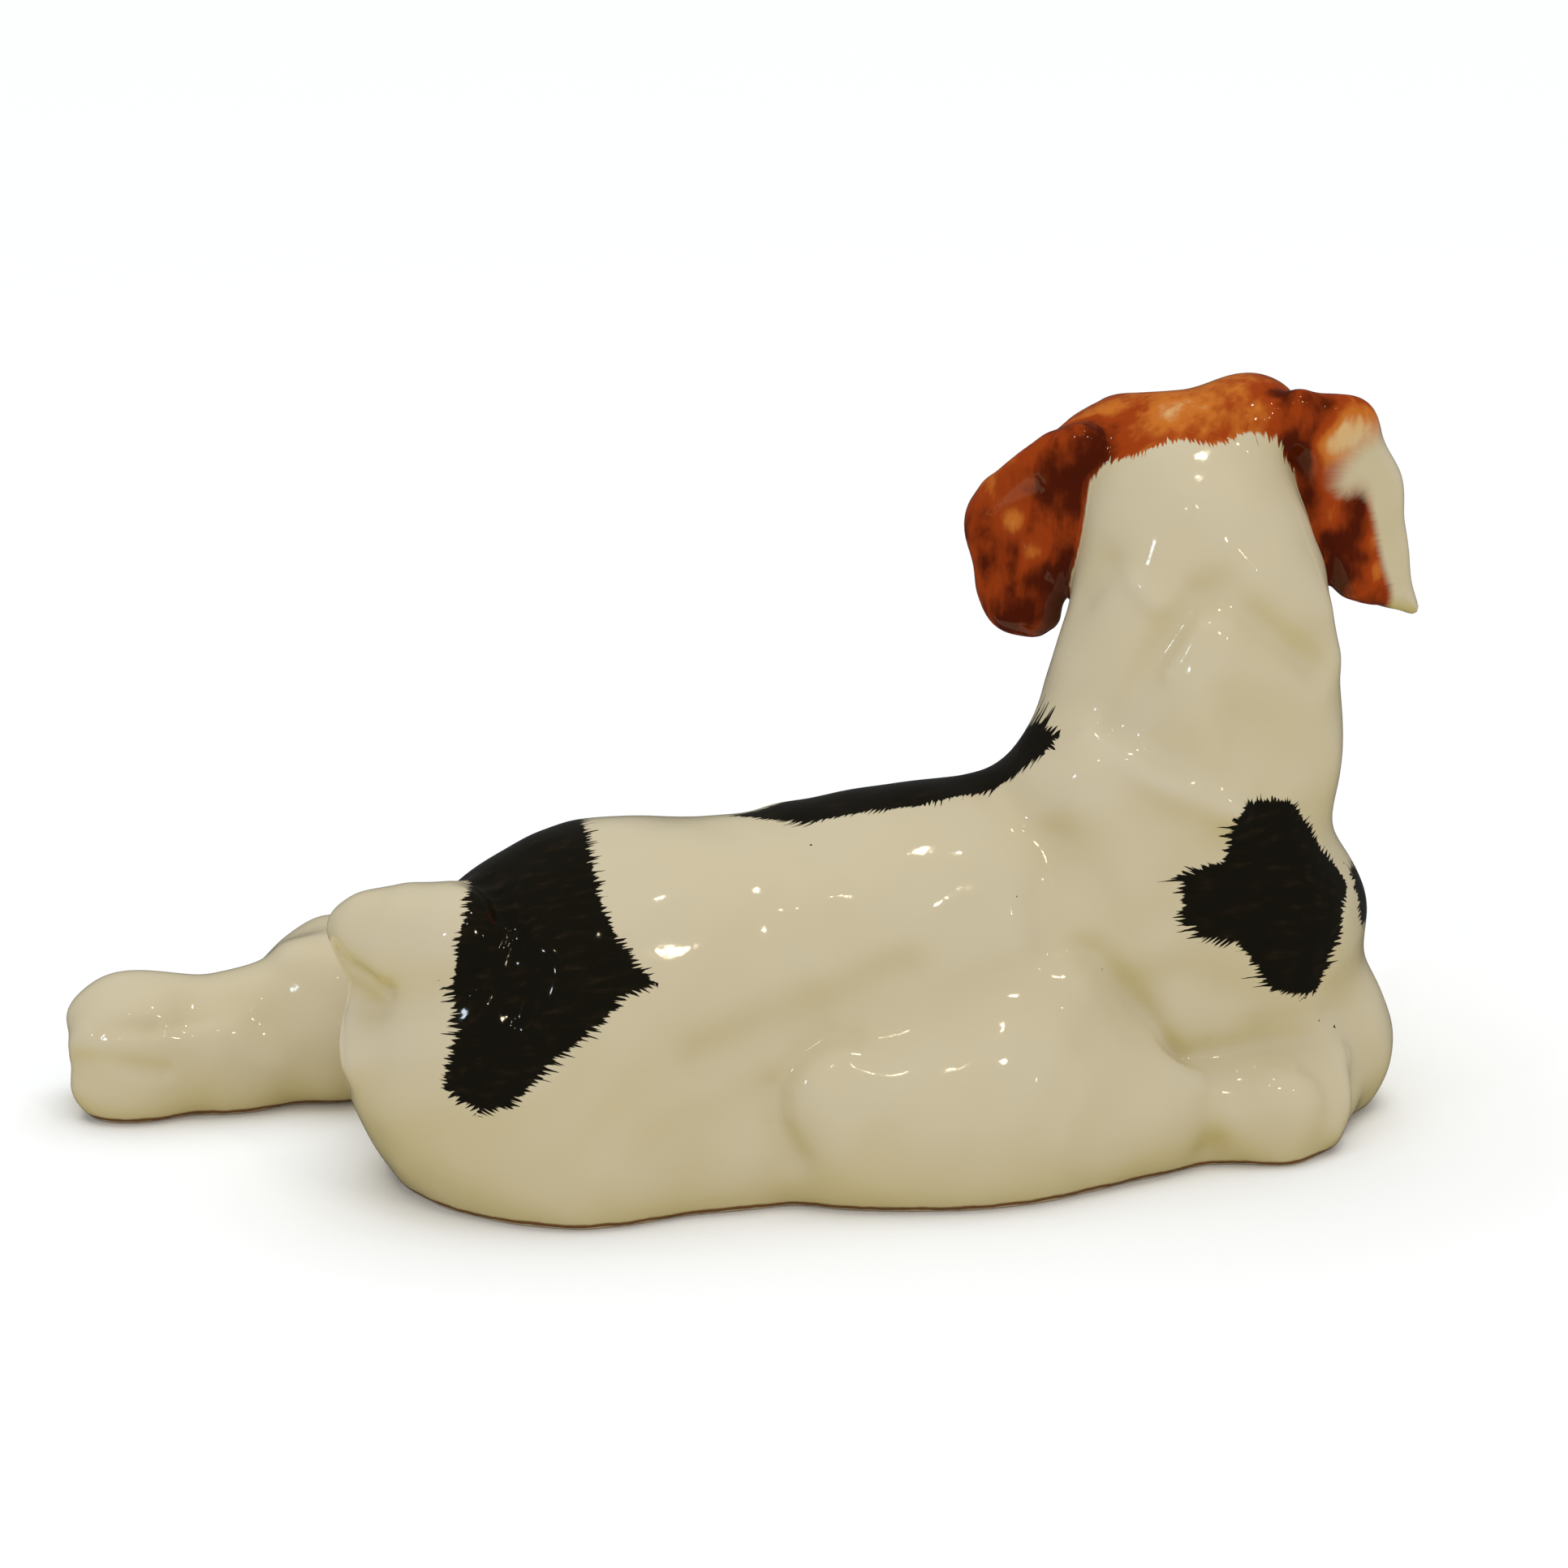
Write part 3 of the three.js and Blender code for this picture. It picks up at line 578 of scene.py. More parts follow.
@dataclass(frozen=True)
class Modelling:
    """The strokes of the modelling tool.

    The coarse ones follow those of the solids, the fine ones are only here, and those of the face
    are on its right half, in the head's axes.
    """

    coarse: Sequence[Stroke] = (
        Stroke(0.9, 3, ((-15, -23.5, 19), (2, -21.6, 24), (9, -20.8, 26.5))),
        Stroke(1, 3, ((29.4, -12.8, 39), (27.5, -17.2, 32.7), (28, -19.6, 28))),
        Stroke(-0.8, 4, ((32.6, -12.8, 46), (36, -15.8, 39), (40.5, -18.7, 27))),
        Stroke(-0.9, 3, ((33.2, -10.4, 50.7), (43.3, -16.9, 44.4), (50, -18.1, 41.3))),
        Stroke(1, 4.5, ((35.3, -9.9, 53.4), (42.7, -15.5, 48.5), (61.9, -13.6, 45.6))),
        Stroke(1.3, 2.8, ((33, -20, 26), (42.9, -20.2, 12.3), (46.1, -23.3, 3.4))),
        Stroke(1.2, 3.2, ((48.3, -8.8, 66.2), (44.1, -10.3, 60.4), (37.4, -12, 52.4))),
        Stroke(0.9, 3, ((51.3, -9.1, 66.5), (54.9, -10.5, 63.2), (62.6, -9.9, 56.7))),
        Stroke(1.1, 6, ((52.7, -15.2, 51.7), (58.1, -14.1, 51.5))),
        Stroke(-1.5, 4, ((43.5, -17.9, 17.5), (51.1, -16.4, 14.6), (62, -13.8, 12))),
        Stroke(0.8, 5, ((-57.9, 22.1, 11.3), (-52.9, 21.8, 14.3))),
        Stroke(1.1, 3, ((-38, -5.8, 36), (-35.7, -15.1, 32), (-36.5, -21, 21.4))),
        Stroke(-0.8, 4.5, ((46.5, 16.5, 84), (49.1, 13.6, 84.5), (51.2, 11.3, 84.9))),
    )
    fine: Sequence[Stroke] = (
        Stroke(-0.8, 3.6, ((48.8, -10.9, 62.2), (47.2, -13.2, 56), (48.4, -16.2, 48.8))),
        Stroke(0.5, 2.6, ((-68.6, 23.4, 13), (-63.2, 24.4, 13.6))),
        Stroke(0.45, 1.3, ((-82, 24, 13.4), (-78, 22.4, 13.2), (-73.2, 22.2, 12))),
        Stroke(0.45, 1.3, ((-83, 24, 8), (-79.5, 21, 8.6), (-72.2, 20.6, 7))),
        Stroke(-0.5, 5, ((-32.7, -17.7, 30.8), (-33.9, -19.9, 25.7))),
        Stroke(0.6, 1.8, (
            (2.8, -21.9, 19), (-0.2, -21.8, 19.8), (-3.3, -22, 18), (-6.4, -23.2, 14.6),
            (-6.8, -24.4, 10.7), (-5.2, -26.5, 7),
        )),
        Stroke(0.45, 1.5, (
            (31.1, -18.7, 27.3), (33.6, -18.6, 25.6), (39.3, -18.6, 18.4), (42.7, -20.2, 12.4),
        )),
        Stroke(-0.6, 1.8, ((35.6, -9.2, 50.3), (41, -14.5, 46.1), (51.3, -16.8, 41.7))),
        Stroke(0.5, 1.9, (
            (38.3, -9.2, 51.5), (43.5, -8.7, 60), (46.3, -8.6, 63), (48.7, -7.5, 65.8),
        )),
        Stroke(0.4, 1.9, ((55.1, -9.3, 63.4), (59.1, -9.3, 59.6), (63.2, -8, 56.1))),
        Stroke(-0.5, 3, ((29.1, -11.3, 40.8), (30, -12.1, 38.9), (30.6, -13.2, 37.2))),
        Stroke(-0.5, 1.3, ((44.1, -10.6, 57.4), (46.2, -10.3, 60.2), (48.1, -9.8, 62.9))),
        Stroke(-0.45, 1.6, ((41.8, -4.2, 67), (43.7, -6.8, 64.9))),
        Stroke(0.5, 4.5, ((52, -13.9, 51), (55, -13.9, 50.6))),
        Stroke(0.6, 2.6, ((39.6, 0.3, 67.7), (37.7, 1.6, 64.1))),
        Stroke(0.5, 1.2, (
            (-54, -3.4, 28.8), (-53.1, -5, 27.7), (-51.4, -7.5, 26.9), (-49.4, -9.4, 25.8),
        )),
        Stroke(-1.5, 3, (
            (-52.4, -3, 22), (-52.9, -4.2, 20), (-53.4, -5.6, 18), (-53.6, -7.4, 16.4),
        )),
        Stroke(0.5, 3, ((-50.5, -9, 21.5), (-49.5, -10.5, 17))),
        Stroke(-0.45, 2.2, ((-55.8, 28, 17.7), (-55.4, 33, 17.7))),
        Stroke(0.6, 1.4, ((-36.6, -8.6, 35.9), (-36.4, -12, 34.4))),
        Stroke(0.6, 1.6, ((-40.4, -16.1, 27.7), (-38.4, -15.8, 30.4), (-35.9, -14.6, 32.1))),
        Stroke(0.5, 1.6, ((-36.6, -19.5, 24.9), (-35, -18.8, 27.2), (-33.7, -18.5, 29.2))),
        Stroke(-1.3, 2.6, (
            (36, 14.5, 79.6), (34, 16.2, 77.8), (32.4, 18.4, 75.6), (31.4, 20.3, 74),
        )),
        Stroke(1.9, 3.4, ((37.2, 20.5, 79.5), (39, 20.7, 81.1), (41, 20.8, 82.8))),
        Stroke(0.8, 2, ((73, 5.8, 59.4), (75.2, 6.4, 58.8))),
        Stroke(-1.1, 1.8, ((36, 12.6, 58.2), (35.2, 13, 57.6))),
        Stroke(-0.8, 2.4, ((29.3, 19.4, 67), (29.6, 19.4, 64.6), (30.2, 19, 62))),
        Stroke(0.9, 3.2, (
            (47.5, -20.3, 13), (53, -20.1, 13.2), (58.2, -20.6, 12.4), (61, -22.2, 9.9),
        )),
        Stroke(-0.9, 2.2, (
            (39.4, -20.2, 15.5), (40.3, -21.2, 14), (41.8, -22, 12.6), (44.4, -22.6, 10.8),
        )),
        Stroke(-0.9, 3.4, (
            (43.7, -18.4, 14.6), (48.5, -18.7, 15.2), (54, -18, 15.6), (60, -16.8, 15.2),
        )),
        Stroke(-1, 2.2, (
            (63.8, -17.8, 10.6), (63.7, -20.2, 7.9), (63.2, -21.6, 5.3), (62, -22.8, 3.2),
        )),
        Stroke(0.9, 3.6, ((61.4, -24.6, 5), (60.8, -25, 1.5))),
        Stroke(-0.7, 3, ((65.8, -4.6, 61.5), (66.6, -4.4, 57))),
        Stroke(0.35, 1.2, ((-79, 23.5, 11), (-74, 23, 11.4), (-67.3, 24, 11.2), (-60, 24, 10.6))),
        Stroke(0.5, 1.6, ((34.4, 12.9, 73.6), (31.9, 15.8, 71.8), (29.9, 18.2, 69.2))),
        Stroke(0.5, 1.4, ((31.4, 16, 68), (33.3, 13.4, 66), (35.2, 11.1, 63), (36.7, 10.2, 60.7))),
        Stroke(0.5, 1.5, (
            (67, 4.4, 84.5), (66.3, 4.4, 81.2), (66.2, 4.2, 78), (66.2, 3.5, 74.3),
            (67.3, 3, 69.8), (69.4, 3.8, 66.2), (70.8, 4.4, 62.5),
        )),
    )
    face: Sequence[Stroke] = (
        Stroke(-0.4, 0.9, (
            (4.6, 15.6, 3.1), (6.2, 15.3, 4.1), (8.6, 13.6, 3.2), (9.4, 12.6, 1.6),
        )),
        Stroke(-0.3, 0.8, ((4.4, 15.9, 0.6), (6.4, 15.7, -0.4), (8.8, 13.8, 0.2))),
        Stroke(0.5, 1.1, ((4.4, 15.2, 4.6), (6.6, 14.4, 5.8), (9.6, 12.2, 4.4))),
        Stroke(0.7, 0.8, ((1.5, 32.2, -3.6), (2.3, 31.4, -4.6))),
        Stroke(0.3, 0.8, (
            (0, 31, -6.4), (0, 29.5, -9.4), (1.5, 29.5, -10.2), (3, 29, -10.9), (4.4, 28.3, -10.9),
            (5.6, 26.9, -10.7), (6.5, 25, -10.9), (6.9, 22, -10.8), (7.2, 20, -10.2),
        )),
        Stroke(-0.35, 2.6, ((3.2, 27.6, -7.6), (4.4, 23.4, -7.8))),
    )

    def strokes(self) -> list[Stroke]:
        """Gathers the strokes.

        Returns:
            All the strokes in the figure's axes, with those of the face on both its sides.
        """
        sides = []
        for stroke in self.face:
            for side in (-1, 1):
                route = [HEAD_AXES.outside((side * x, y, z)) for x, y, z in stroke.route]
                sides.append(Stroke(stroke.depth, stroke.width, route))
        return [*self.coarse, *self.fine, *sides]


@dataclass(frozen=True)
class HandWork:
    """The slight unevenness that the modeller's fingers left."""

    depth: float = 0.05
    pitch: float = 9.0
    bend: float = 1.9
    bend_pitches: float = 3.0
    bend_phases: Vec = (0.3, 1.7, 2.9)
    directions: Sequence[Vec] = (
        (0.8, 0.5, 0.3), (-0.4, 0.8, 0.5), (0.3, -0.5, 0.8), (0.7, 0.1, -0.7),
    )

    def press(self, points: np.ndarray) -> np.ndarray:
        """Adds up waves that run several ways and are bent by a longer one.

        Args:
            points: Points as three rows.

        Returns:
            How far the clay is pushed in at each.
        """
        pace = 2 * math.pi / self.pitch
        phases = np.reshape(self.bend_phases, (3, 1))
        warp = self.bend * np.sin(points * pace / self.bend_pitches + phases)
        waves = [
            np.sin(np.array(way) @ (points * pace + np.roll(warp, i, axis=0)) + i)
            for i, way in enumerate(self.directions)
        ]
        return self.depth * sum(waves)


@dataclass
class Figure:
    """All the clay worked together, standing on its foot, with the vent bored in it."""

    pieces: Sequence[CastPiece] = PIECES
    strokes: Sequence[Stroke] = field(default_factory=lambda: Modelling().strokes())
    hand_work: HandWork = HandWork()
    foot_round: float = 0.9
    vent_at: Flat = (2, -2)
    vent_radius: float = 3.0
    vent_depth: float = 9.0
    vent_round: float = 0.5
    slope_step: float = 0.02
    chunk: int = 30000
    workers: int = 4

    def __post_init__(self) -> None:
        """Gathers the clay of the pieces."""
        self.clays = [piece.clay() for piece in self.pieces]

    def sample(self, points: np.ndarray) -> np.ndarray:
        """Measures the figure.

        Args:
            points: Points as three rows.

        Returns:
            The distance to the figure's outer surface, and below it to each piece's own clay.
        """
        own = [clay.distance(points) for clay in self.clays]
        whole = own[0]
        for piece, distance in zip(self.pieces[1:], own[1:]):
            whole = faired(whole, distance, piece.join)
        for stroke in self.strokes:
            whole = whole + stroke.press(points)
        whole = whole + self.hand_work.press(points)
        standing = -faired(-whole, points[2], self.foot_round)
        side = self.vent_radius - np.hypot(*(points[i] - self.vent_at[i] for i in range(2)))
        bore = np.minimum(side, self.vent_depth - points[2])
        return np.stack([-faired(-standing, -bore, self.vent_round), *own])

    def measured(self, points: np.ndarray) -> np.ndarray:
        """Measures the figure on several workers.

        Args:
            points: Points as three rows, any number of them.

        Returns:
            The same as sample gives.
        """
        parts = np.array_split(points, points.shape[1] // self.chunk + 1, axis=1)
        with ThreadPoolExecutor(self.workers) as pool:
            return np.concatenate(list(pool.map(self.sample, parts)), axis=1)

    def sloped(self, points: np.ndarray) -> tuple[np.ndarray, np.ndarray]:
        """Measures the figure with its slopes.

        Args:
            points: Points as three rows.

        Returns:
            The measures, and their slopes along X, Y and Z as a stack of three.
        """
        here = self.measured(points)
        steps = np.eye(3) * self.slope_step
        ahead = [self.measured(points + steps[:, i : i + 1]) for i in range(3)]
        return here, (np.stack(ahead) - here) / self.slope_step


@dataclass
class Skin:
    """The figure's surface on a grid of small cells, cut into its closed cast pieces."""

    figure: Figure
    cell: float = FINE_CELL
    low: Vec = (-87, -38, -2)
    high: Vec = (84, 50, 92)
    block: int = 4
    margin: float = 1.25
    settling: int = 4
    most_shift: float = 0.9
    near_reach: float = 2.5
    far_reach: float = 5.0
    level_slope: float = 0.35

    def __post_init__(self) -> None:
        """Samples the grid, and settles its vertices."""
        self.sample_grid()
        self.place_vertices()
        self.settle()
        self.collect_faces()
        self.fit()

    def sample_grid(self) -> None:
        """Labels the grid's nodes: 0 outside, or 1 and up for the piece that the node is in."""
        block = self.cell * self.block
        size = np.subtract(self.high, self.low)
        blocks = np.ceil(size / block).astype(int)
        axes = [low + block * np.arange(n + 1) for low, n in zip(self.low, blocks)]
        coarse = np.stack(np.meshgrid(*axes, indexing="ij")).reshape(3, -1)
        outer, gap, _ = self.judged(self.figure.measured(coarse))
        nearness = np.where(outer < block, np.minimum(np.abs(outer), gap), np.abs(outer))
        nearness = nearness.reshape(blocks + 1)
        corners = [(i, j, k) for i in (0, 1) for j in (0, 1) for k in (0, 1)]
        nearest = np.min([self.corner(nearness, c) for c in corners], axis=0)
        active = nearest < self.margin * block * math.sqrt(3) / 2
        for axis in range(3):
            active = np.repeat(active, self.block, axis=axis)
        nodes = np.zeros(np.add(active.shape, 1), bool)
        for c in corners:
            self.corner(nodes, c)[...] |= active
        places = np.argwhere(nodes)
        points = np.reshape(self.low, (3, 1)) + self.cell * places.T
        outer, _, label = self.judged(self.figure.measured(points))
        self.outer = np.zeros(nodes.shape)
        self.label = np.zeros(nodes.shape, np.int8)
        self.outer[nodes], self.label[nodes] = outer, label
        first = self.corner(self.label, corners[0])
        mixed = [self.corner(self.label, c) != first for c in corners]
        self.crossed = np.any(mixed, axis=0) & active
        self.corners = corners

    @staticmethod
    def judged(measures: np.ndarray) -> tuple[np.ndarray, np.ndarray, np.ndarray]:
        """Judges which piece holds each point.

        Args:
            measures: What the figure measured at the points.

        Returns:
            The outer distance, half the gap to the next piece's clay, and the label.
        """
        outer, own = measures[0], measures[1:]
        two = np.partition(own, 1, axis=0)[:2]
        label = np.where(outer < 0, own.argmin(axis=0) + 1, 0)
        return outer, (two[1] - two[0]) / 2, label

    @staticmethod
    def corner(grid: np.ndarray, offset: Sequence[int]) -> np.ndarray:
        """One corner's node of every cell, as a view of the grid."""
        view = tuple(slice(o, grid.shape[i] - 1 + o) for i, o in enumerate(offset))
        return grid[view]

    def place_vertices(self) -> None:
        """Puts a rough vertex in each crossed cell, between the nodes that differ."""
        cells = np.argwhere(self.crossed)
        self.number = np.full(self.crossed.shape, -1, np.int64)
        self.number[self.crossed] = np.arange(len(cells))
        value = np.stack([self.corner(self.outer, c)[self.crossed] for c in self.corners])
        label = np.stack([self.corner(self.label, c)[self.crossed] for c in self.corners])
        self.on_outside = (label == 0).any(axis=0)
        total, count = np.zeros((3, len(cells))), np.zeros(len(cells))
        for i, first in enumerate(self.corners):
            for j, second in enumerate(self.corners):
                if i >= j or sum(abs(a - b) for a, b in zip(first, second)) != 1:
                    continue
                open_edge = (label[i] == 0) != (label[j] == 0)
                used = np.where(self.on_outside, open_edge, label[i] != label[j])
                share = np.full(len(cells), 0.5)
                np.divide(value[i], value[i] - value[j], out=share, where=open_edge)
                start = np.reshape(first, (3, 1))
                step = np.reshape(np.subtract(second, first), (3, 1))
                total += used * (start + step * share)
                count += used
        middle = cells.T + total / count
        self.points = np.reshape(self.low, (3, 1)) + self.cell * middle
        counts = np.stack([(label == k + 1).sum(axis=0) for k in range(len(self.figure.pieces))])
        self.first = counts.argmax(axis=0)
        np.put_along_axis(counts, self.first[None], -counts.max(axis=0)[None], axis=0)
        self.second = counts.argmax(axis=0)
        self.on_seam = counts.max(axis=0) > 0

    def settle(self) -> None:
        """Draws the vertices onto the outer surface and the seams, and finds their normals."""
        rough = self.points.copy()
        column = np.arange(rough.shape[1])
        for _ in range(self.settling):
            here, slopes = self.figure.sloped(self.points)
            shift = self.step(here[0], slopes[:, 0]) * self.on_outside
            apart = here[self.first + 1, column] - here[self.second + 1, column]
            tilt = slopes[:, self.first + 1, column] - slopes[:, self.second + 1, column]
            shift += self.step(apart, tilt) * self.on_seam
            moved = self.points + shift - rough
            most = self.most_shift * self.cell
            moved *= np.minimum(1, most / np.maximum(length(moved), TINY))
            self.points = rough + moved
        _, slopes = self.figure.sloped(self.points)
        self.normals = slopes[:, 0] / np.maximum(length(slopes[:, 0]), TINY)
        # How deep each vertex lies in a hollow: the glazes read it for pooled glaze and painted
        # shade.
        near = self.figure.measured(self.points + self.near_reach * self.normals)[0]
        far = self.figure.measured(self.points + self.far_reach * self.normals)[0]
        self.near_hollow = 1 - near / self.near_reach
        self.far_hollow = 1 - far / self.far_reach

    @staticmethod
    def step(value: np.ndarray, slope: np.ndarray) -> np.ndarray:
        """The step along its slope that brings each value to 0."""
        return -slope * value / np.maximum(np.sum(slope * slope, axis=0), LEAST_SLOPE_SQ)

    def collect_faces(self) -> None:
        """Lays a square over each grid edge whose nodes differ, once for each piece it bounds."""
        squares, owners = [], []
        for axis in range(3):
            b, c = (axis + 1) % 3, (axis + 2) % 3
            start = [slice(1, n - 1) for n in self.label.shape]
            end = list(start)
            start[axis], end[axis] = slice(0, -1), slice(1, None)
            low, high = self.label[tuple(start)], self.label[tuple(end)]
            edges = np.argwhere(low != high)
            low, high = low[low != high], high[self.label[tuple(start)] != high]
            edges[:, b] += 1
            edges[:, c] += 1
            around = []
            for step_b, step_c in ((-1, -1), (0, -1), (0, 0), (-1, 0)):
                cell = edges.copy()
                cell[:, b] += step_b
                cell[:, c] += step_c
                around.append(self.number[tuple(cell.T)])
            square = np.stack(around, axis=1)
            whole = (square >= 0).all(axis=1)
            squares += [square[whole & (low > 0)], square[whole & (high > 0)][:, ::-1]]
            owners += [low[whole & (low > 0)], high[whole & (high > 0)]]
        self.squares, self.owners = np.concatenate(squares), np.concatenate(owners)

    def fit(self) -> None:
        """Finds the place of the skin over the solids' box."""
        low, high = self.points.min(axis=1), self.points.max(axis=1)
        box_low, box_high = (np.array(corner, float) for corner in CAD_BOX)
        self.scale = (box_high - box_low) / (high - low)
        self.shift = box_low - low * self.scale

    def placed(self, points: np.ndarray) -> np.ndarray:
        """Points of the clay, as three rows, in metres over the solids."""
        return points * self.scale[:, None] + self.shift[:, None]

    def piece(self, node: str) -> bpy.types.Object:
        """Makes one cast piece.

        Args:
            node: The name of its solid.

        Returns:
            The piece as a closed mesh, with what its glaze reads as attributes.
        """
        index = [piece.node for piece in self.figure.pieces].index(node)
        used, squares = np.unique(self.squares[self.owners == index + 1], return_inverse=True)
        squares = squares.reshape(-1, 4)
        mesh = bpy.data.meshes.new("cast_" + node)
        mesh.vertices.add(len(used))
        mesh.vertices.foreach_set("co", self.placed(self.points[:, used]).T.ravel())
        mesh.loops.add(squares.size)
        mesh.loops.foreach_set("vertex_index", squares.ravel().astype(np.int32))
        mesh.polygons.add(len(squares))
        mesh.polygons.foreach_set("loop_start", np.arange(0, squares.size, 4, dtype=np.int32))
        mesh.update(calc_edges=True)
        mesh.polygons.foreach_set("use_smooth", np.ones(len(squares), bool))
        mesh.normals_split_custom_set_from_vertices(self.normals[:, used].T.tolist())
        for name, values in self.painting(used, node).items():
            attribute = mesh.attributes.new(name, "FLOAT", "POINT")
            attribute.data.foreach_set("value", values.astype(np.float32))
        made = bpy.data.objects.new("cast_" + node, mesh)
        bpy.context.scene.collection.objects.link(made)
        return made

    def painting(self, used: np.ndarray, node: str) -> dict[str, np.ndarray]:
        """Gathers what the glaze reads at some of the vertices.

        Args:
            used: The numbers of the vertices.
            node: The piece that they are on.

        Returns:
            The values by attribute name.
        """
        painted = Painting().read(self.points[:, used], node)
        # How much each vertex faces down: the glazes read it for pooled glaze and painted shade
        # underneath.
        painted["underside"] = np.maximum(self.level_slope - self.normals[2, used], 0)
        painted["near_hollow"] = self.near_hollow[used]
        painted["far_hollow"] = self.far_hollow[used]
        return painted

    def shell(self) -> bpy.types.Object:
        """Makes the outer surface alone.

        Returns:
            The surface as one mesh, without the seams.
        """
        outer = self.squares[self.on_outside[self.squares].all(axis=1)]
        used, squares = np.unique(outer, return_inverse=True)
        mesh = bpy.data.meshes.new("shell")
        places = self.placed(self.points[:, used]).T
        mesh.from_pydata(places.tolist(), [], squares.reshape(-1, 4).tolist())
        made = bpy.data.objects.new("shell", mesh)
        bpy.context.scene.collection.objects.link(made)
        return made


# The painting under the glaze


@dataclass(frozen=True)
class Unrolling:
    """A cylinder round the clay on which an outline is drawn flat."""

    at: Vec
    axis: Vec
    zero: Vec
    radius: float
    cut: float

    def flat(self, points: np.ndarray) -> np.ndarray:
        """Unrolls the cylinder.

        Args:
            points: Points as three rows.

        Returns:
            How far along and around the cylinder each point lies, as two rows.
        """
        offset = points - np.reshape(self.at, (3, 1))
        quarter = np.cross(self.zero, self.axis)
        angle = np.degrees(np.arctan2(quarter @ offset, np.array(self.zero) @ offset))
        angle = np.where(angle < self.cut, angle + 360, angle)
        return np.stack([np.array(self.axis) @ offset, np.radians(angle) * self.radius])


@dataclass(frozen=True)
class Patch:
    """A painted patch: its outline on a flat sheet, and how the hairs of its edge lie.

    The hairs lie along the grain, either way, as the brush went, and the lay leans them one way
    where the outline itself runs along the grain.
    """

    outline: Sequence[Flat]
    grain: Flat = (1.0, 0.0)
    lay: float = 0.0
    spread: float = 0.35
    most_slant: float = 1.6

    def read(self, flat: np.ndarray) -> tuple[np.ndarray, np.ndarray, np.ndarray]:
        """Measures the patch.

        Args:
            flat: Places on the sheet, as two rows.

        Returns:
            The distance to the outline, less than 0 inside, how far round the outline the
            brush hair through each place starts, and how far out such hairs reach as a share.
        """
        best = np.full(flat.shape[1], np.inf)
        run, slant, reach = np.zeros_like(best), np.zeros_like(best), np.zeros_like(best)
        inside = np.zeros(flat.shape[1], bool)
        corners = np.array(self.outline, float)
        lengths = np.linalg.norm(np.roll(corners, -1, axis=0) - corners, axis=1)
        winding = self.winding(corners)
        passed = 0.0
        for start, end, size in zip(corners, np.roll(corners, -1, axis=0), lengths):
            tangent = (end - start) / size
            outward = np.array([tangent[1], -tangent[0]]) * winding
            offset = flat - start[:, None]
            share = np.clip(tangent @ offset, 0, size)
            gap = np.hypot(*(offset - tangent[:, None] * share))
            hair = self.spread * outward + np.array(self.grain) * (outward @ self.grain + self.lay)
            rise = max(hair @ outward, self.spread / 2)
            lean = hair @ tangent / rise
            nearer = gap < best
            best = np.where(nearer, gap, best)
            run = np.where(nearer, passed + share, run)
            slant = np.where(nearer, np.clip(lean, -self.most_slant, self.most_slant), slant)
            reach = np.where(nearer, rise / np.hypot(*hair) * min(rise + self.spread, 1), reach)
            passed += size
            spans = (start[1] > flat[1]) != (end[1] > flat[1])
            height = end[1] - start[1] if end[1] != start[1] else TINY
            crossing = start[0] + (flat[1] - start[1]) / height * (end[0] - start[0])
            inside ^= spans & (flat[0] < crossing)
        edge = np.where(inside, -best, best)
        return edge, run - slant * edge, reach

    @staticmethod
    def winding(corners: np.ndarray) -> float:
        """Finds which way an outline runs.

        Args:
            corners: The outline's corners, one to a row.

        Returns:
            1 for an outline that runs anticlockwise, and otherwise -1.
        """
        ahead = np.roll(corners, -1, axis=0)
        area = np.sum(corners[:, 0] * ahead[:, 1] - corners[:, 1] * ahead[:, 0])
        return 1.0 if area > 0 else -1.0


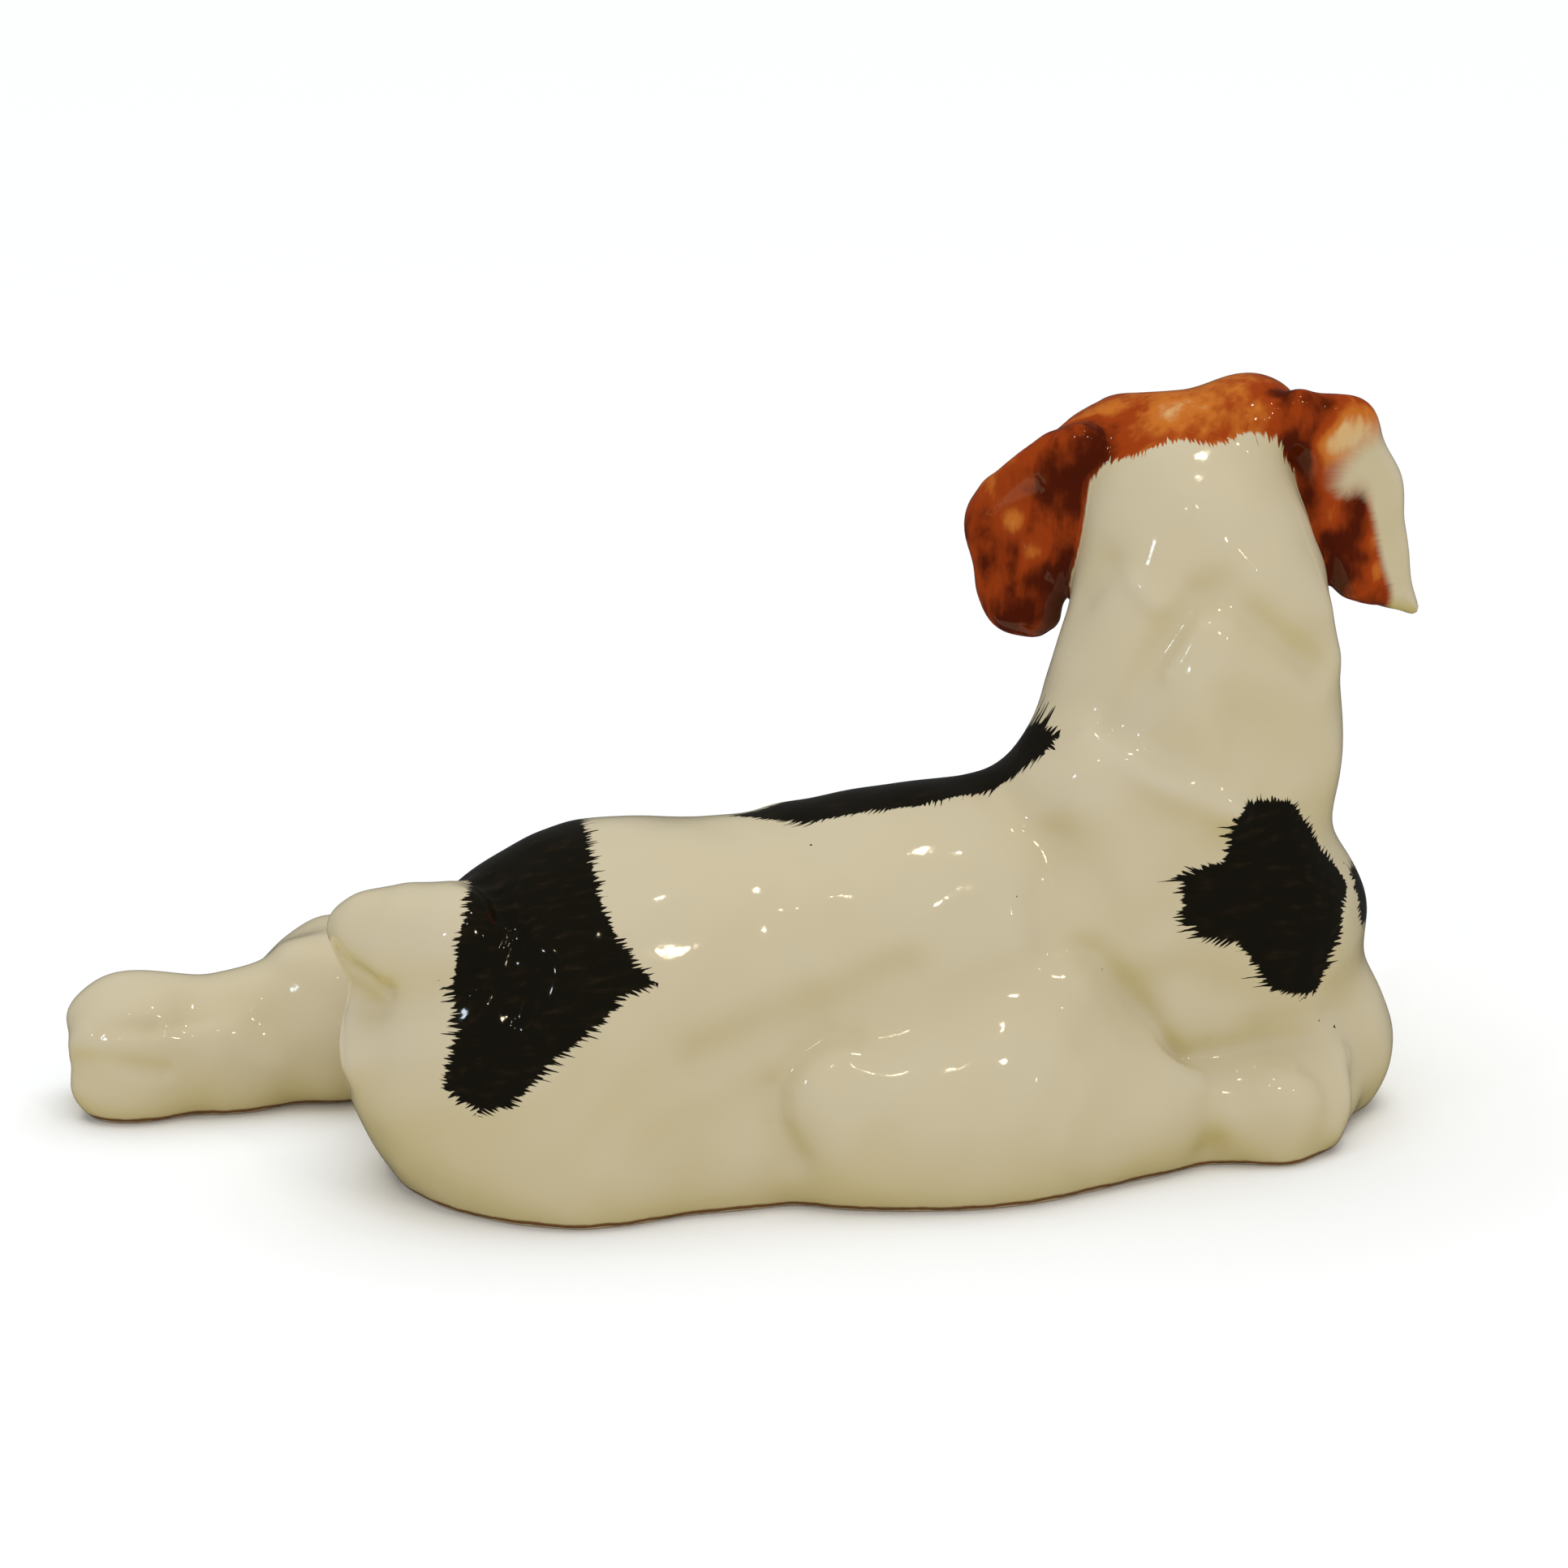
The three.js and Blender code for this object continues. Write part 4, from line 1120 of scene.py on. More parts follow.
@dataclass(frozen=True)
class BlackPaint:
    """The black patches on the rump, the spine and the shoulder."""

    trunk: Unrolling = Unrolling((0, -1, 18.5), (1, 0, 0), (0, -1, 0), 21, -90)
    breast: Unrolling = Unrolling((54, -2, 0), (0, 0, -1), (0, -1, 0), 16, -180)
    rump: Patch = Patch(
        ((-24.3, 35.3), (-25.4, 26), (-25.6, 20), (-24.8, 15.3), (-22.8, 11.5), (-20.8, 9),
         (-24.5, 8), (-27.4, 5.4), (-33.4, 1.6), (-38.4, -2.9), (-41.5, -4), (-44.6, -2.5),
         (-44.9, 0), (-43.2, 5.5), (-43.2, 11.5), (-42.2, 17), (-40.6, 21), (-39.6, 25),
         (-38.6, 30.4), (-41, 36), (-42, 44), (-38, 52), (-31, 55), (-26, 51), (-23, 45)),
        lay=0.25,
    )
    spine: Patch = Patch(
        ((-6.3, 35.1), (-4, 33.6), (2.1, 29), (8.9, 29), (14.7, 28.8), (21.2, 29.8), (25.1, 30),
         (28.1, 29.3), (30, 29), (31.7, 29.6), (31.2, 32), (29, 38), (24, 38.5), (12, 39),
         (2, 38)),
        lay=-0.35,
    )
    shoulder: Patch = Patch(
        ((-42.7, -1.9), (-42.3, 2.3), (-41.8, 5.3), (-40, 7.4), (-37.7, 9.8), (-35.7, 11.6),
         (-33.5, 13.1), (-32, 14), (-30.3, 14.2), (-29.2, 12.6), (-28.1, 10.7), (-26.1, 10.2),
         (-23.4, 8.5), (-20.8, 7.6), (-18.8, 7.2), (-18.8, 5.5), (-19.3, 3.4), (-20.2, 0.8),
         (-23.3, -0.7), (-26.3, -3), (-27.1, -6.9), (-28.6, -8), (-29.5, -8.5), (-31.6, -8.9),
         (-34.6, -9.2), (-35.1, -7.6), (-35.7, -4.7), (-37.5, -4), (-40.9, -3.4), (-41.8, -2.5)),
        grain=(0.0, 1.0),
        lay=-0.15,
    )
    breast_spot: Patch = Patch(
        ((-30.6, 17.9), (-28.8, 17), (-26.4, 17.2), (-24.2, 17.4), (-23.6, 22), (-27, 25),
         (-30.4, 22)),
        grain=(0.0, 1.0),
    )

    def read(self, points: np.ndarray) -> tuple[np.ndarray, np.ndarray, np.ndarray]:
        """Measures the black patches.

        Args:
            points: Points of the clay, as three rows.

        Returns:
            The distance to the nearest patch, how far round its outline the brush hair through
            each point starts, and how far out such hairs reach as a share.
        """
        trunk = self.trunk.flat(points)
        black, run, reach = self.rump.read(trunk)
        breast = self.breast.flat(points)
        others = ((self.spine, trunk), (self.shoulder, breast), (self.breast_spot, breast))
        for patch, flat in others:
            edge, along, out = patch.read(flat)
            run = np.where(edge < black, along, run)
            reach = np.where(edge < black, out, reach)
            black = np.minimum(black, edge)
        return black, run, reach


@dataclass(frozen=True)
class CrownPaint:
    """The rust paint over the crown and round the eyes, with a white blaze down the face.

    Its lower line gives degrees round the head from its back and degrees up from its middle, and
    the blaze gives heights in the head's axes and half widths.
    """

    line: Sequence[Flat] = (
        (-180, -22), (-152, -24), (-125, -34), (-98, -30), (-80, -5), (-62, 14), (-52, 24),
        (-45, 37), (-30, 38), (-8, 41), (5, 44.5), (20, 43), (32, 36.5), (48, 36), (63, 29),
        (70, 21), (78, 10), (86, -8), (100, -30), (125, -34), (152, -24), (180, -22),
    )
    blaze: Sequence[Flat] = (
        (-12, 9), (-5, 6.5), (0, 3.6), (6, 2.4), (10, 2.2), (11.6, 1.8), (12, -1),
    )
    radius: float = 15.0

    def read(self, points: np.ndarray) -> tuple[np.ndarray, np.ndarray]:
        """Measures the rust paint of the head.

        Args:
            points: Points of the clay, as three rows.

        Returns:
            The distance to the paint, and how far along its line the hair through each point
            starts.
        """
        right, muzzle, crown = HEAD_AXES.inside(points)
        level = np.maximum(np.hypot(right, muzzle), TINY)
        turn = np.degrees(np.arctan2(right, -muzzle))
        turns, heights = np.array(self.line, float).T
        slopes = np.diff(heights) / np.diff(turns)
        stretch = np.clip(np.searchsorted(turns, turn) - 1, 0, len(slopes) - 1)
        above = np.interp(turn, turns, heights) - np.degrees(np.arctan2(crown, level))
        edge = np.radians(above) * self.radius / np.hypot(1, slopes[stretch])
        rises, widths = np.array(self.blaze, float).T
        white = np.where(muzzle > 0, np.interp(crown, rises, widths) - np.abs(right), -self.radius)
        run = np.where(white > edge, crown, np.radians(turn) * self.radius)
        return np.maximum(edge, white), run


@dataclass(frozen=True)
class Tone:
    """A place where the rust is drawn lighter, or darker where its lift is less than 0."""

    at: Vec
    radius: float
    lift: float

    def read(self, points: np.ndarray) -> np.ndarray:
        """How much lighter the rust is drawn at each point."""
        gap_sq = sum((points[i] - self.at[i]) ** 2 for i in range(3))
        return self.lift * np.exp(-gap_sq / self.radius**2)


@dataclass(frozen=True)
class FaceInk:
    """The fine black painting of the face, in the head's axes."""

    nose: Ball = Ball((0, 29.9, -3.9), (3.5, 2.7, 2.5))
    eye: Vec = (7.1, 15.3, 1.8)
    iris: float = 1.85
    rim: float = 0.25
    line: float = 0.42
    mouth: Sequence[Vec] = (
        (0, 31, -6.4), (0, 29.5, -9.4), (1.5, 29.5, -10.2), (3, 29, -10.9), (4.4, 28.3, -10.9),
        (5.6, 26.9, -10.7), (6.5, 25, -10.9), (6.9, 22, -10.8), (7.2, 20, -10.2),
    )

    def read(self, points: np.ndarray) -> tuple[np.ndarray, np.ndarray]:
        """Measures the ink.

        Args:
            points: Points of the clay, as three rows.

        Returns:
            The distance to the nearest inked place, and to the middle of the nearer eye.
        """
        right, muzzle, crown = HEAD_AXES.inside(points)
        half = np.stack([np.abs(right), muzzle, crown])
        eye = length(half - np.reshape(self.eye, (3, 1)))
        rim = np.abs(eye - self.iris) - self.rim
        mouth = Stroke(1, 1, self.mouth).gap(half) - self.line
        return np.minimum(np.minimum(rim, mouth), self.nose.distance(half)), eye


@dataclass(frozen=True)
class Painting:
    """All the painting, as the distances and tones that the glazes read at the vertices; some of
    the rust's tones are painted light and shade.
    """

    black: BlackPaint = BlackPaint()
    crown: CrownPaint = CrownPaint()
    ink: FaceInk = FaceInk()
    ear_white: Patch = Patch(
        ((-4.9, 0.8), (-2.9, 1.3), (-1.3, 2.4), (-0.2, 3.7), (0.7, 5.1), (1.1, 6.8), (0.4, 7.9),
         (-0.7, 8.1), (-1.9, 7.8), (-3, 8.2), (-3.8, 9.3), (-4.3, 10.8), (-5, 14.2), (-5.8, 17.6),
         (-6.9, 20.9), (-7.2, 24.3), (-7.4, 28), (-16, 28), (-16, 14), (-12, 1), (-7, 1)),
    )
    ear_rim: float = 0.9
    # Painted shade on the rust of the head where the ears meet it.
    ear_root_shade: float = -0.45
    ear_root_shade_reach: float = 1.5
    smooth_reach: float = 0.25
    base_tones: Sequence[tuple[str, float]] = (
        ("head", 0.27), ("left_ear", -0.28), ("right_ear", -0.2),
    )
    # Lighter and darker places of the rust: some are the paint's own tone, others are painted
    # highlights on the ears and painted shade near the neck, in the folds and over the brow.
    tones: Sequence[Tone] = (
        Tone((51.6, 8.5, 85), 3.8, 0.42),
        Tone((57.5, 4.9, 85.5), 3, 0.12),
        Tone((44.7, 10.8, 82.8), 3, -0.15),
        Tone((45, 6.6, 80.7), 2.2, -0.3),
        Tone((40.1, 8.5, 79.7), 2.4, -0.3),
        Tone((38.7, 9.6, 76.6), 2.4, -0.2),
        Tone((62.5, 7.4, 86.8), 2.4, -0.4),
        Tone((63.7, 3.2, 81.4), 2.2, -0.45),
        Tone((32.4, 15.2, 70.2), 1.6, 0.85),
        Tone((31.8, 16.6, 70.7), 3, 0.4),
        Tone((34.4, 12.6, 67), 2, 0.8),
        Tone((37.3, 10.1, 73), 2.8, -0.25),
        Tone((36.1, 10.8, 64.7), 2.8, -0.55),
        Tone((36.3, 11, 76.3), 2.6, -0.25),
        Tone((33.9, 13.2, 68.7), 1.5, -0.4),
        Tone((28.7, 20.1, 68.4), 2, -0.5),
        Tone((29.5, 18.3, 64.6), 2.2, -0.45),
        Tone((32.6, 13.1, 59.7), 3.4, -0.4),
        Tone((31.6, 17.2, 74.1), 2.5, 0.25),
        Tone((72, 4, 81.9), 3.6, 1.25),
        Tone((68.6, 3.4, 79.9), 2.4, 0.8),
        Tone((65.2, 4.6, 79.2), 1.8, -0.5),
        Tone((64.5, 2.6, 74), 1.8, -0.5),
        Tone((65.4, 0.7, 70.5), 1.8, -0.45),
        Tone((72.1, 4.2, 71.7), 2.2, -0.45),
        Tone((70.3, 3.7, 68.3), 1.8, -0.5),
        Tone((72.3, 3.8, 66), 2, -0.4),
        Tone((70.3, 4.5, 63.8), 2, -0.4),
        Tone((74.5, 4.6, 67.6), 1.3, 0.5),
        Tone((75.2, 4.6, 64.2), 1.5, 0.6),
        Tone((68.4, 3.6, 71.2), 2, 0.45),
        Tone((66.7, 3.4, 85.2), 3, -0.15),
    )
    white_blur: Flat = (5.0, 1.3)
    blur_drop: Flat = (5.0, 10.0)
    far_off: float = 9.0

    def read(self, points: np.ndarray, node: str) -> dict[str, np.ndarray]:
        """Reads the painting.

        Args:
            points: Points of the clay, as three rows.
            node: The piece that they are on.

        Returns:
            The attributes of the painting by name.
        """
        nothing = np.zeros(points.shape[1])
        tone = dict(self.base_tones).get(node, 0.0) + sum(tone.read(points) for tone in self.tones)
        painted = dict(zip(("black_edge", "black_run", "black_reach"), self.black.read(points)))
        painted |= {"rust_edge": nothing - self.far_off, "rust_run": nothing, "rust_blur": nothing}
        painted["rust_reach"] = nothing + self.smooth_reach
        if node == RIGHT_EAR.node:
            across, drop, _ = RIGHT_EAR.flat(points)
            white, run, _ = self.ear_white.read(np.stack([across, drop]))
            blur = np.interp(drop, self.blur_drop, self.white_blur)
            painted |= {"rust_edge": -white, "rust_run": run, "rust_blur": blur}
        elif node == "head":
            rust, run = self.crown.read(points)
            ear = np.minimum(LEFT_EAR.distance(points), RIGHT_EAR.distance(points))
            rim = ear - self.ear_rim
            painted |= {"rust_edge": np.minimum(rust, rim), "rust_run": run}
            painted["rust_reach"] = np.where(rim < rust, self.smooth_reach, 1.0)
            painted |= dict(zip(("ink_edge", "eye_gap"), self.ink.read(points)))
            # Painted shade darkens the head's rust along the roots of the ears.
            tone = tone + self.ear_root_shade * np.exp(-(ear / self.ear_root_shade_reach) ** 2)
        painted["rust_tone"] = tone
        return painted


# The glazes


def srgb(*channels: int) -> tuple[float, float, float, float]:
    """Takes a colour as screens give it to what the shaders take.

    Args:
        channels: Red, green and blue, from 0 to 255.

    Returns:
        The linear colour, with a full alpha.
    """
    shares = [channel / 255 for channel in channels]
    linear = [s / 12.92 if s <= 0.04045 else ((s + 0.055) / 1.055) ** 2.4 for s in shares]
    return (linear[0], linear[1], linear[2], 1.0)


class Wiring:
    """Lays and joins the nodes of one tree."""

    def __init__(self, tree: bpy.types.NodeTree) -> None:
        """Takes the tree in hand."""
        self.tree = tree

    def node(
        self, kind: str, given: Mapping[str | int, object], **settings: object
    ) -> bpy.types.Node:
        """Lays one node.

        Args:
            kind: The node's type.
            given: A socket or a value for each of its inputs that is set.
            settings: The node's own settings.

        Returns:
            The node.
        """
        made = self.tree.nodes.new(kind)
        for name, value in settings.items():
            setattr(made, name, value)
        for name, value in given.items():
            if isinstance(value, bpy.types.NodeSocket):
                self.tree.links.new(value, made.inputs[name])
            else:
                made.inputs[name].default_value = value
        return made

    def maths(self, operation: str, *values: Number) -> bpy.types.NodeSocket:
        """The result of a sum."""
        return self.node("ShaderNodeMath", dict(enumerate(values)), operation=operation).outputs[0]

    def ramp(self, value: Number, low: Number, high: Number) -> bpy.types.NodeSocket:
        """0 below the low value and 1 above the high one, smoothly."""
        ends = {0: value, 1: low, 2: high}
        return self.node("ShaderNodeMapRange", ends, interpolation_type="SMOOTHSTEP").outputs[0]

    def mixed(self, share: Number, first: Paint, second: Paint) -> bpy.types.NodeSocket:
        """The second colour over the first, by its share."""
        both = {0: share, 6: first, 7: second}
        return self.node("ShaderNodeMix", both, data_type="RGBA").outputs[2]

    def attribute(self, name: str) -> bpy.types.NodeSocket:
        """A number that the mesh carries."""
        return self.node("ShaderNodeAttribute", {}, attribute_name=name).outputs["Fac"]

    def noise(
        self, place: bpy.types.NodeSocket, scale: Number, detail: float
    ) -> bpy.types.NodeSocket:
        """Cloudy noise between 0 and 1."""
        given = {"Vector": place, "Scale": scale, "Detail": detail}
        return self.node("ShaderNodeTexNoise", given).outputs[0]

    def centred(
        self, place: bpy.types.NodeSocket, scale: Number, detail: float
    ) -> bpy.types.NodeSocket:
        """Cloudy noise between -0.5 and 0.5."""
        return self.maths("ADD", self.noise(place, scale, detail), -0.5)

    def place(self, stretch: Vec = (1, 1, 1)) -> bpy.types.NodeSocket:
        """The place on the object in metres, stretched along each axis."""
        raw = self.node("ShaderNodeTexCoord", {}).outputs["Object"]
        return self.node("ShaderNodeMapping", {"Vector": raw, "Scale": stretch}).outputs[0]


class Effect:
    """A shader effect that is built once and placed in each glaze that shows it."""

    name: str
    takes: Mapping[str, float]
    gives: Mapping[str, str]

    def wire(self, wiring: Wiring, given: Sockets) -> dict[str, bpy.types.NodeSocket]:
        """Lays the effect's nodes, and gives the socket of each of its outputs."""
        raise NotImplementedError

    def tree(self) -> bpy.types.NodeTree:
        """Builds the effect's node group the first time that it's wanted.

        Returns:
            The node group.
        """
        made = bpy.data.node_groups.get(self.name)
        if made:
            return made
        made = bpy.data.node_groups.new(self.name, "ShaderNodeTree")
        for name, value in self.takes.items():
            socket = made.interface.new_socket(name, in_out="INPUT", socket_type="NodeSocketFloat")
            socket.default_value = value
        for name, kind in self.gives.items():
            made.interface.new_socket(name, in_out="OUTPUT", socket_type=kind)
        start, end = made.nodes.new("NodeGroupInput"), made.nodes.new("NodeGroupOutput")
        for name, socket in self.wire(Wiring(made), start.outputs).items():
            made.links.new(socket, end.inputs[name])
        return made

    def lay(self, wiring: Wiring, given: Mapping[str, object]) -> bpy.types.NodeSocket:
        """Places the effect in a material, and gives its output."""
        return wiring.node("ShaderNodeGroup", given, node_tree=self.tree()).outputs[0]


class Fringe(Effect):
    """How far paint covers the clay, out to the tapering strokes of the brush's hairs."""

    name = "brush_fringe"
    takes = {"Edge": 0.0, "Run": 0.0, "Pitch": 1.0, "Reach": 1.0, "Blur": 0.1}
    gives = {"Cover": "NodeSocketFloat"}
    fine: Mapping[str, float] = {"share": 0.55, "shift": 17.3}
    gap: Mapping[str, float] = {"share": 0.8, "shift": 41.7}
    fine_reach: float = 0.5
    gap_depth: float = 0.35
    tuft_scale: float = 340.0
    tuft_band: Flat = (0.3, 0.7)
    tuft_gain: float = 1.1
    least_tuft: float = 0.35
    taper: float = -2.2
    bluntness: float = 1.15
    hair_range: float = 0.85
    shortest_hair: float = 0.2

    def wire(self, wiring: Wiring, given: Sockets) -> dict[str, bpy.types.NodeSocket]:
        """Takes two sizes of hair strokes from the distance to the edge, less the gaps.

        Args:
            wiring: The wiring of the effect's tree.
            given: What the effect is given, by name.

        Returns:
            The share of paint that covers the clay.
        """
        broad = self.hairs(wiring, given, 1.0, 0.0)
        fine = wiring.maths("MULTIPLY", self.hairs(wiring, given, **self.fine), self.fine_reach)
        gaps = wiring.maths("MULTIPLY", self.hairs(wiring, given, **self.gap), self.gap_depth)
        reach = wiring.maths("SUBTRACT", wiring.maths("ADD", broad, fine), gaps)
        wander = wiring.noise(wiring.place(), self.tuft_scale, 1.0)
        tufts = wiring.ramp(wander, *self.tuft_band)
        tufts = wiring.maths("MULTIPLY_ADD", tufts, self.tuft_gain, self.least_tuft)
        reach = wiring.maths("MULTIPLY", reach, tufts)
        out = wiring.maths("MULTIPLY", reach, given["Reach"])
        depth = wiring.maths("SUBTRACT", out, given["Edge"])
        low = wiring.maths("MULTIPLY", given["Blur"], -0.5)
        high = wiring.maths("MULTIPLY", given["Blur"], 0.5)
        return {"Cover": wiring.ramp(depth, low, high)}

    def hairs(
        self, wiring: Wiring, given: Sockets, share: float, shift: float
    ) -> bpy.types.NodeSocket:
        """Draws one size of strokes.

        Args:
            wiring: The wiring of the effect's tree.
            given: What the effect is given, by name.
            share: The strokes' pitch as a share of the pitch given.
            shift: How many strokes further round the outline these start.

        Returns:
            The reach of the strokes as a share of the longest.
        """
        pitch = wiring.maths("MULTIPLY", given["Pitch"], share)
        place = wiring.maths("ADD", wiring.maths("DIVIDE", given["Run"], pitch), shift)
        spots = {"W": place, "Scale": 1.0}
        cells = wiring.node("ShaderNodeTexVoronoi", spots, voronoi_dimensions="1D")
        chance = wiring.node("ShaderNodeSeparateColor", {0: cells.outputs["Color"]}).outputs[0]
        taper = wiring.maths("MULTIPLY_ADD", cells.outputs["Distance"], self.taper, 1.0)
        point = wiring.maths("POWER", wiring.maths("MAXIMUM", taper, 0.0), self.bluntness)
        longest = wiring.maths("MULTIPLY_ADD", chance, self.hair_range, self.shortest_hair)
        return wiring.maths("MULTIPLY", point, longest)


class Ripple(Effect):
    """The faint waves of a glaze that ran in the kiln."""

    name = "glaze_ripple"
    takes = {"Pitch": 0.003, "Height": 0.00003}
    gives = {"Normal": "NodeSocketVector"}
    fine_scale: float = 3.1
    fine_share: float = 0.3

    def wire(self, wiring: Wiring, given: Sockets) -> dict[str, bpy.types.NodeSocket]:
        """Raises broad waves with finer ones on them.

        Args:
            wiring: The wiring of the effect's tree.
            given: What the effect is given, by name.

        Returns:
            The normal of the waves.
        """
        scale = wiring.maths("DIVIDE", 1.0, given["Pitch"])
        broad = wiring.noise(wiring.place(), scale, 1.0)
        fine = wiring.noise(wiring.place(), wiring.maths("MULTIPLY", scale, self.fine_scale), 1.0)
        height = wiring.maths("MULTIPLY_ADD", fine, self.fine_share, broad)
        bump = {"Strength": 1.0, "Distance": given["Height"], "Height": height}
        return {"Normal": wiring.node("ShaderNodeBump", bump).outputs[0]}


class PoolingAndShade(Effect):
    """Pooled glaze and painted shade in hollows and undersides, and faint clouds of thicker glaze.
    """

    name = "glaze_pooling_and_shade"
    takes = {"Near": 0.0, "Far": 0.0, "Under": 0.0, "Cloud": 0.3}
    gives = {"Thickness": "NodeSocketFloat"}
    cloud_scale: float = 55.0
    cloud_detail: float = 3.0
    near_share: float = 0.3
    far_share: float = 0.35
    fullest: float = 0.3
    under_share: float = 0.75
    band: Flat = (-0.3, 1.2)

    def wire(self, wiring: Wiring, given: Sockets) -> dict[str, bpy.types.NodeSocket]:
        """Adds the hollows and undersides that the mesh carries to the clouds.

        Args:
            wiring: The wiring of the effect's tree.
            given: What the effect is given, by name.

        Returns:
            The share of pooled glaze and painted shade, from 0 to 1.
        """
        cloud = wiring.centred(wiring.place(), self.cloud_scale, self.cloud_detail)
        hollow = wiring.maths("MULTIPLY", given["Near"], self.near_share)
        hollow = wiring.maths("MULTIPLY_ADD", given["Far"], self.far_share, hollow)
        hollow = wiring.maths("MINIMUM", hollow, self.fullest)
        hollow = wiring.maths("MULTIPLY_ADD", given["Under"], self.under_share, hollow)
        whole = wiring.maths("MULTIPLY_ADD", cloud, given["Cloud"], hollow)
        return {"Thickness": wiring.ramp(whole, *self.band)}


class RustWash(Effect):
    """The tone of brushed rust paint, 0 dark to 1 pale, streaked the way the brush went."""

    name = "rust_wash"
    takes = {"Tone": 0.0, "Streaks": 0.5}
    gives = {"Tone": "NodeSocketFloat"}
    streak_stretch: Vec = (1, 1, 0.3)
    streak_scale: float = 900.0
    streak_detail: float = 2.0
    streak_share: float = 0.55
    cloud_stretch: Vec = (1, 1, 0.8)
    cloud_scale: float = 330.0
    cloud_detail: float = 4.0
    cloud_share: float = 1.3
    tone_gain: float = 0.5
    middle_tone: float = 0.42

    def wire(self, wiring: Wiring, given: Sockets) -> dict[str, bpy.types.NodeSocket]:
        """Lays upright streaks and clouds over the tone that the mesh carries.

        Args:
            wiring: The wiring of the effect's tree.
            given: What the effect is given, by name.

        Returns:
            The tone.
        """
        along = wiring.place(self.streak_stretch)
        streak = wiring.centred(along, self.streak_scale, self.streak_detail)
        spread = wiring.place(self.cloud_stretch)
        cloud = wiring.centred(spread, self.cloud_scale, self.cloud_detail)
        rough = wiring.maths("MULTIPLY", streak, self.streak_share)
        rough = wiring.maths("MULTIPLY_ADD", cloud, self.cloud_share, rough)
        tone = wiring.maths("MULTIPLY_ADD", given["Tone"], self.tone_gain, self.middle_tone)
        return {"Tone": wiring.maths("MULTIPLY_ADD", rough, given["Streaks"], tone)}


class BareFoot(Effect):
    """Where the glaze was wiped off the foot before the firing."""

    name = "bare_foot"
    takes = {"Top": 0.0004, "Blur": 0.0002}
    gives = {"Bare": "NodeSocketFloat"}
    wander_scale: float = 300.0
    wander_detail: float = 2.0
    wander_height: float = 0.0006

    def wire(self, wiring: Wiring, given: Sockets) -> dict[str, bpy.types.NodeSocket]:
        """Finds what lies below the wiped line, which wanders a little.

        Args:
            wiring: The wiring of the effect's tree.
            given: What the effect is given, by name.

        Returns:
            1 where the clay is bare.
        """
        height = wiring.node("ShaderNodeSeparateXYZ", {0: wiring.place()}).outputs[2]
        wander = wiring.centred(wiring.place(), self.wander_scale, self.wander_detail)
        height = wiring.maths("MULTIPLY_ADD", wander, -self.wander_height, height)
        high = wiring.maths("ADD", given["Top"], given["Blur"])
        return {"Bare": wiring.maths("SUBTRACT", 1.0, wiring.ramp(height, given["Top"], high))}


@dataclass(frozen=True)
class IvoryGlaze:
    """Clear glaze over cream clay with the black painting, wiped off the foot."""

    name: str = "ivory_glaze"
    thin: Paint = srgb(210, 198, 171)
    # The darker yellow laid in hollows and on undersides: pooled glaze and painted shade.
    pooled_and_shaded: Paint = srgb(192, 174, 108)
    black: Paint = srgb(20, 17, 9)
    black_thin: Paint = srgb(44, 34, 20)
    foot_line: Paint = srgb(116, 80, 44)
    clay: Paint = srgb(202, 184, 150)
    gloss: float = 0.07
    bare_roughness: float = 0.75
    index: float = 1.5
    ripple_pitch: float = 0.0042
    ripple_height: float = 0.00005
    hair_pitch: float = 0.6
    hair_reach: float = 1.5
    hair_blur: float = 0.2
    foot_top: float = 0.0003
    foot_blur: float = 0.0001
    line_top: float = 0.0007
    line_blur: float = 0.0003
    brush_stretch: Vec = (0.3, 1, 1)
    brush_scale: float = 900.0
    brush_detail: float = 3.0
    brush_band: Flat = (0.5, 0.95)

    def painted(self, wiring: Wiring, colour: bpy.types.NodeSocket) -> bpy.types.NodeSocket:
        """Paints the black patches over the clay's colour.

        Args:
            wiring: The wiring of the glaze's tree.
            colour: The colour of the glazed clay.

        Returns:
            The painted colour.
        """
        cover = Fringe().lay(wiring, {
            "Edge": wiring.attribute("black_edge"), "Run": wiring.attribute("black_run"),
            "Pitch": self.hair_pitch, "Blur": self.hair_blur,
            "Reach": wiring.maths("MULTIPLY", wiring.attribute("black_reach"), self.hair_reach),
        })
        along = wiring.place(self.brush_stretch)
        brushed = wiring.noise(along, self.brush_scale, self.brush_detail)
        black = wiring.mixed(wiring.ramp(brushed, *self.brush_band), self.black, self.black_thin)
        return wiring.mixed(cover, colour, black)

    def material(self) -> bpy.types.Material:
        """Wires the finished glaze.

        Returns:
            The material.
        """
        made = bpy.data.materials.new(self.name)
        made.use_nodes = True
        wiring = Wiring(made.node_tree)
        hollows = {"Near": wiring.attribute("near_hollow"), "Far": wiring.attribute("far_hollow")}
        # Pooled glaze and painted shade yellow and darken the hollows and undersides.
        pooled = PoolingAndShade().lay(wiring, hollows | {"Under": wiring.attribute("underside")})
        colour = self.painted(wiring, wiring.mixed(pooled, self.thin, self.pooled_and_shaded))
        line = BareFoot().lay(wiring, {"Top": self.line_top, "Blur": self.line_blur})
        bare = BareFoot().lay(wiring, {"Top": self.foot_top, "Blur": self.foot_blur})
        colour = wiring.mixed(bare, wiring.mixed(line, colour, self.foot_line), self.clay)
        rough = wiring.maths("MULTIPLY_ADD", bare, self.bare_roughness - self.gloss, self.gloss)
        waves = {"Pitch": self.ripple_pitch, "Height": self.ripple_height}
        shader = made.node_tree.nodes["Principled BSDF"]
        shader.inputs["IOR"].default_value = self.index
        links = {"Base Color": colour, "Roughness": rough, "Normal": Ripple().lay(wiring, waves)}
        for name, socket in links.items():
            made.node_tree.links.new(socket, shader.inputs[name])
        return made


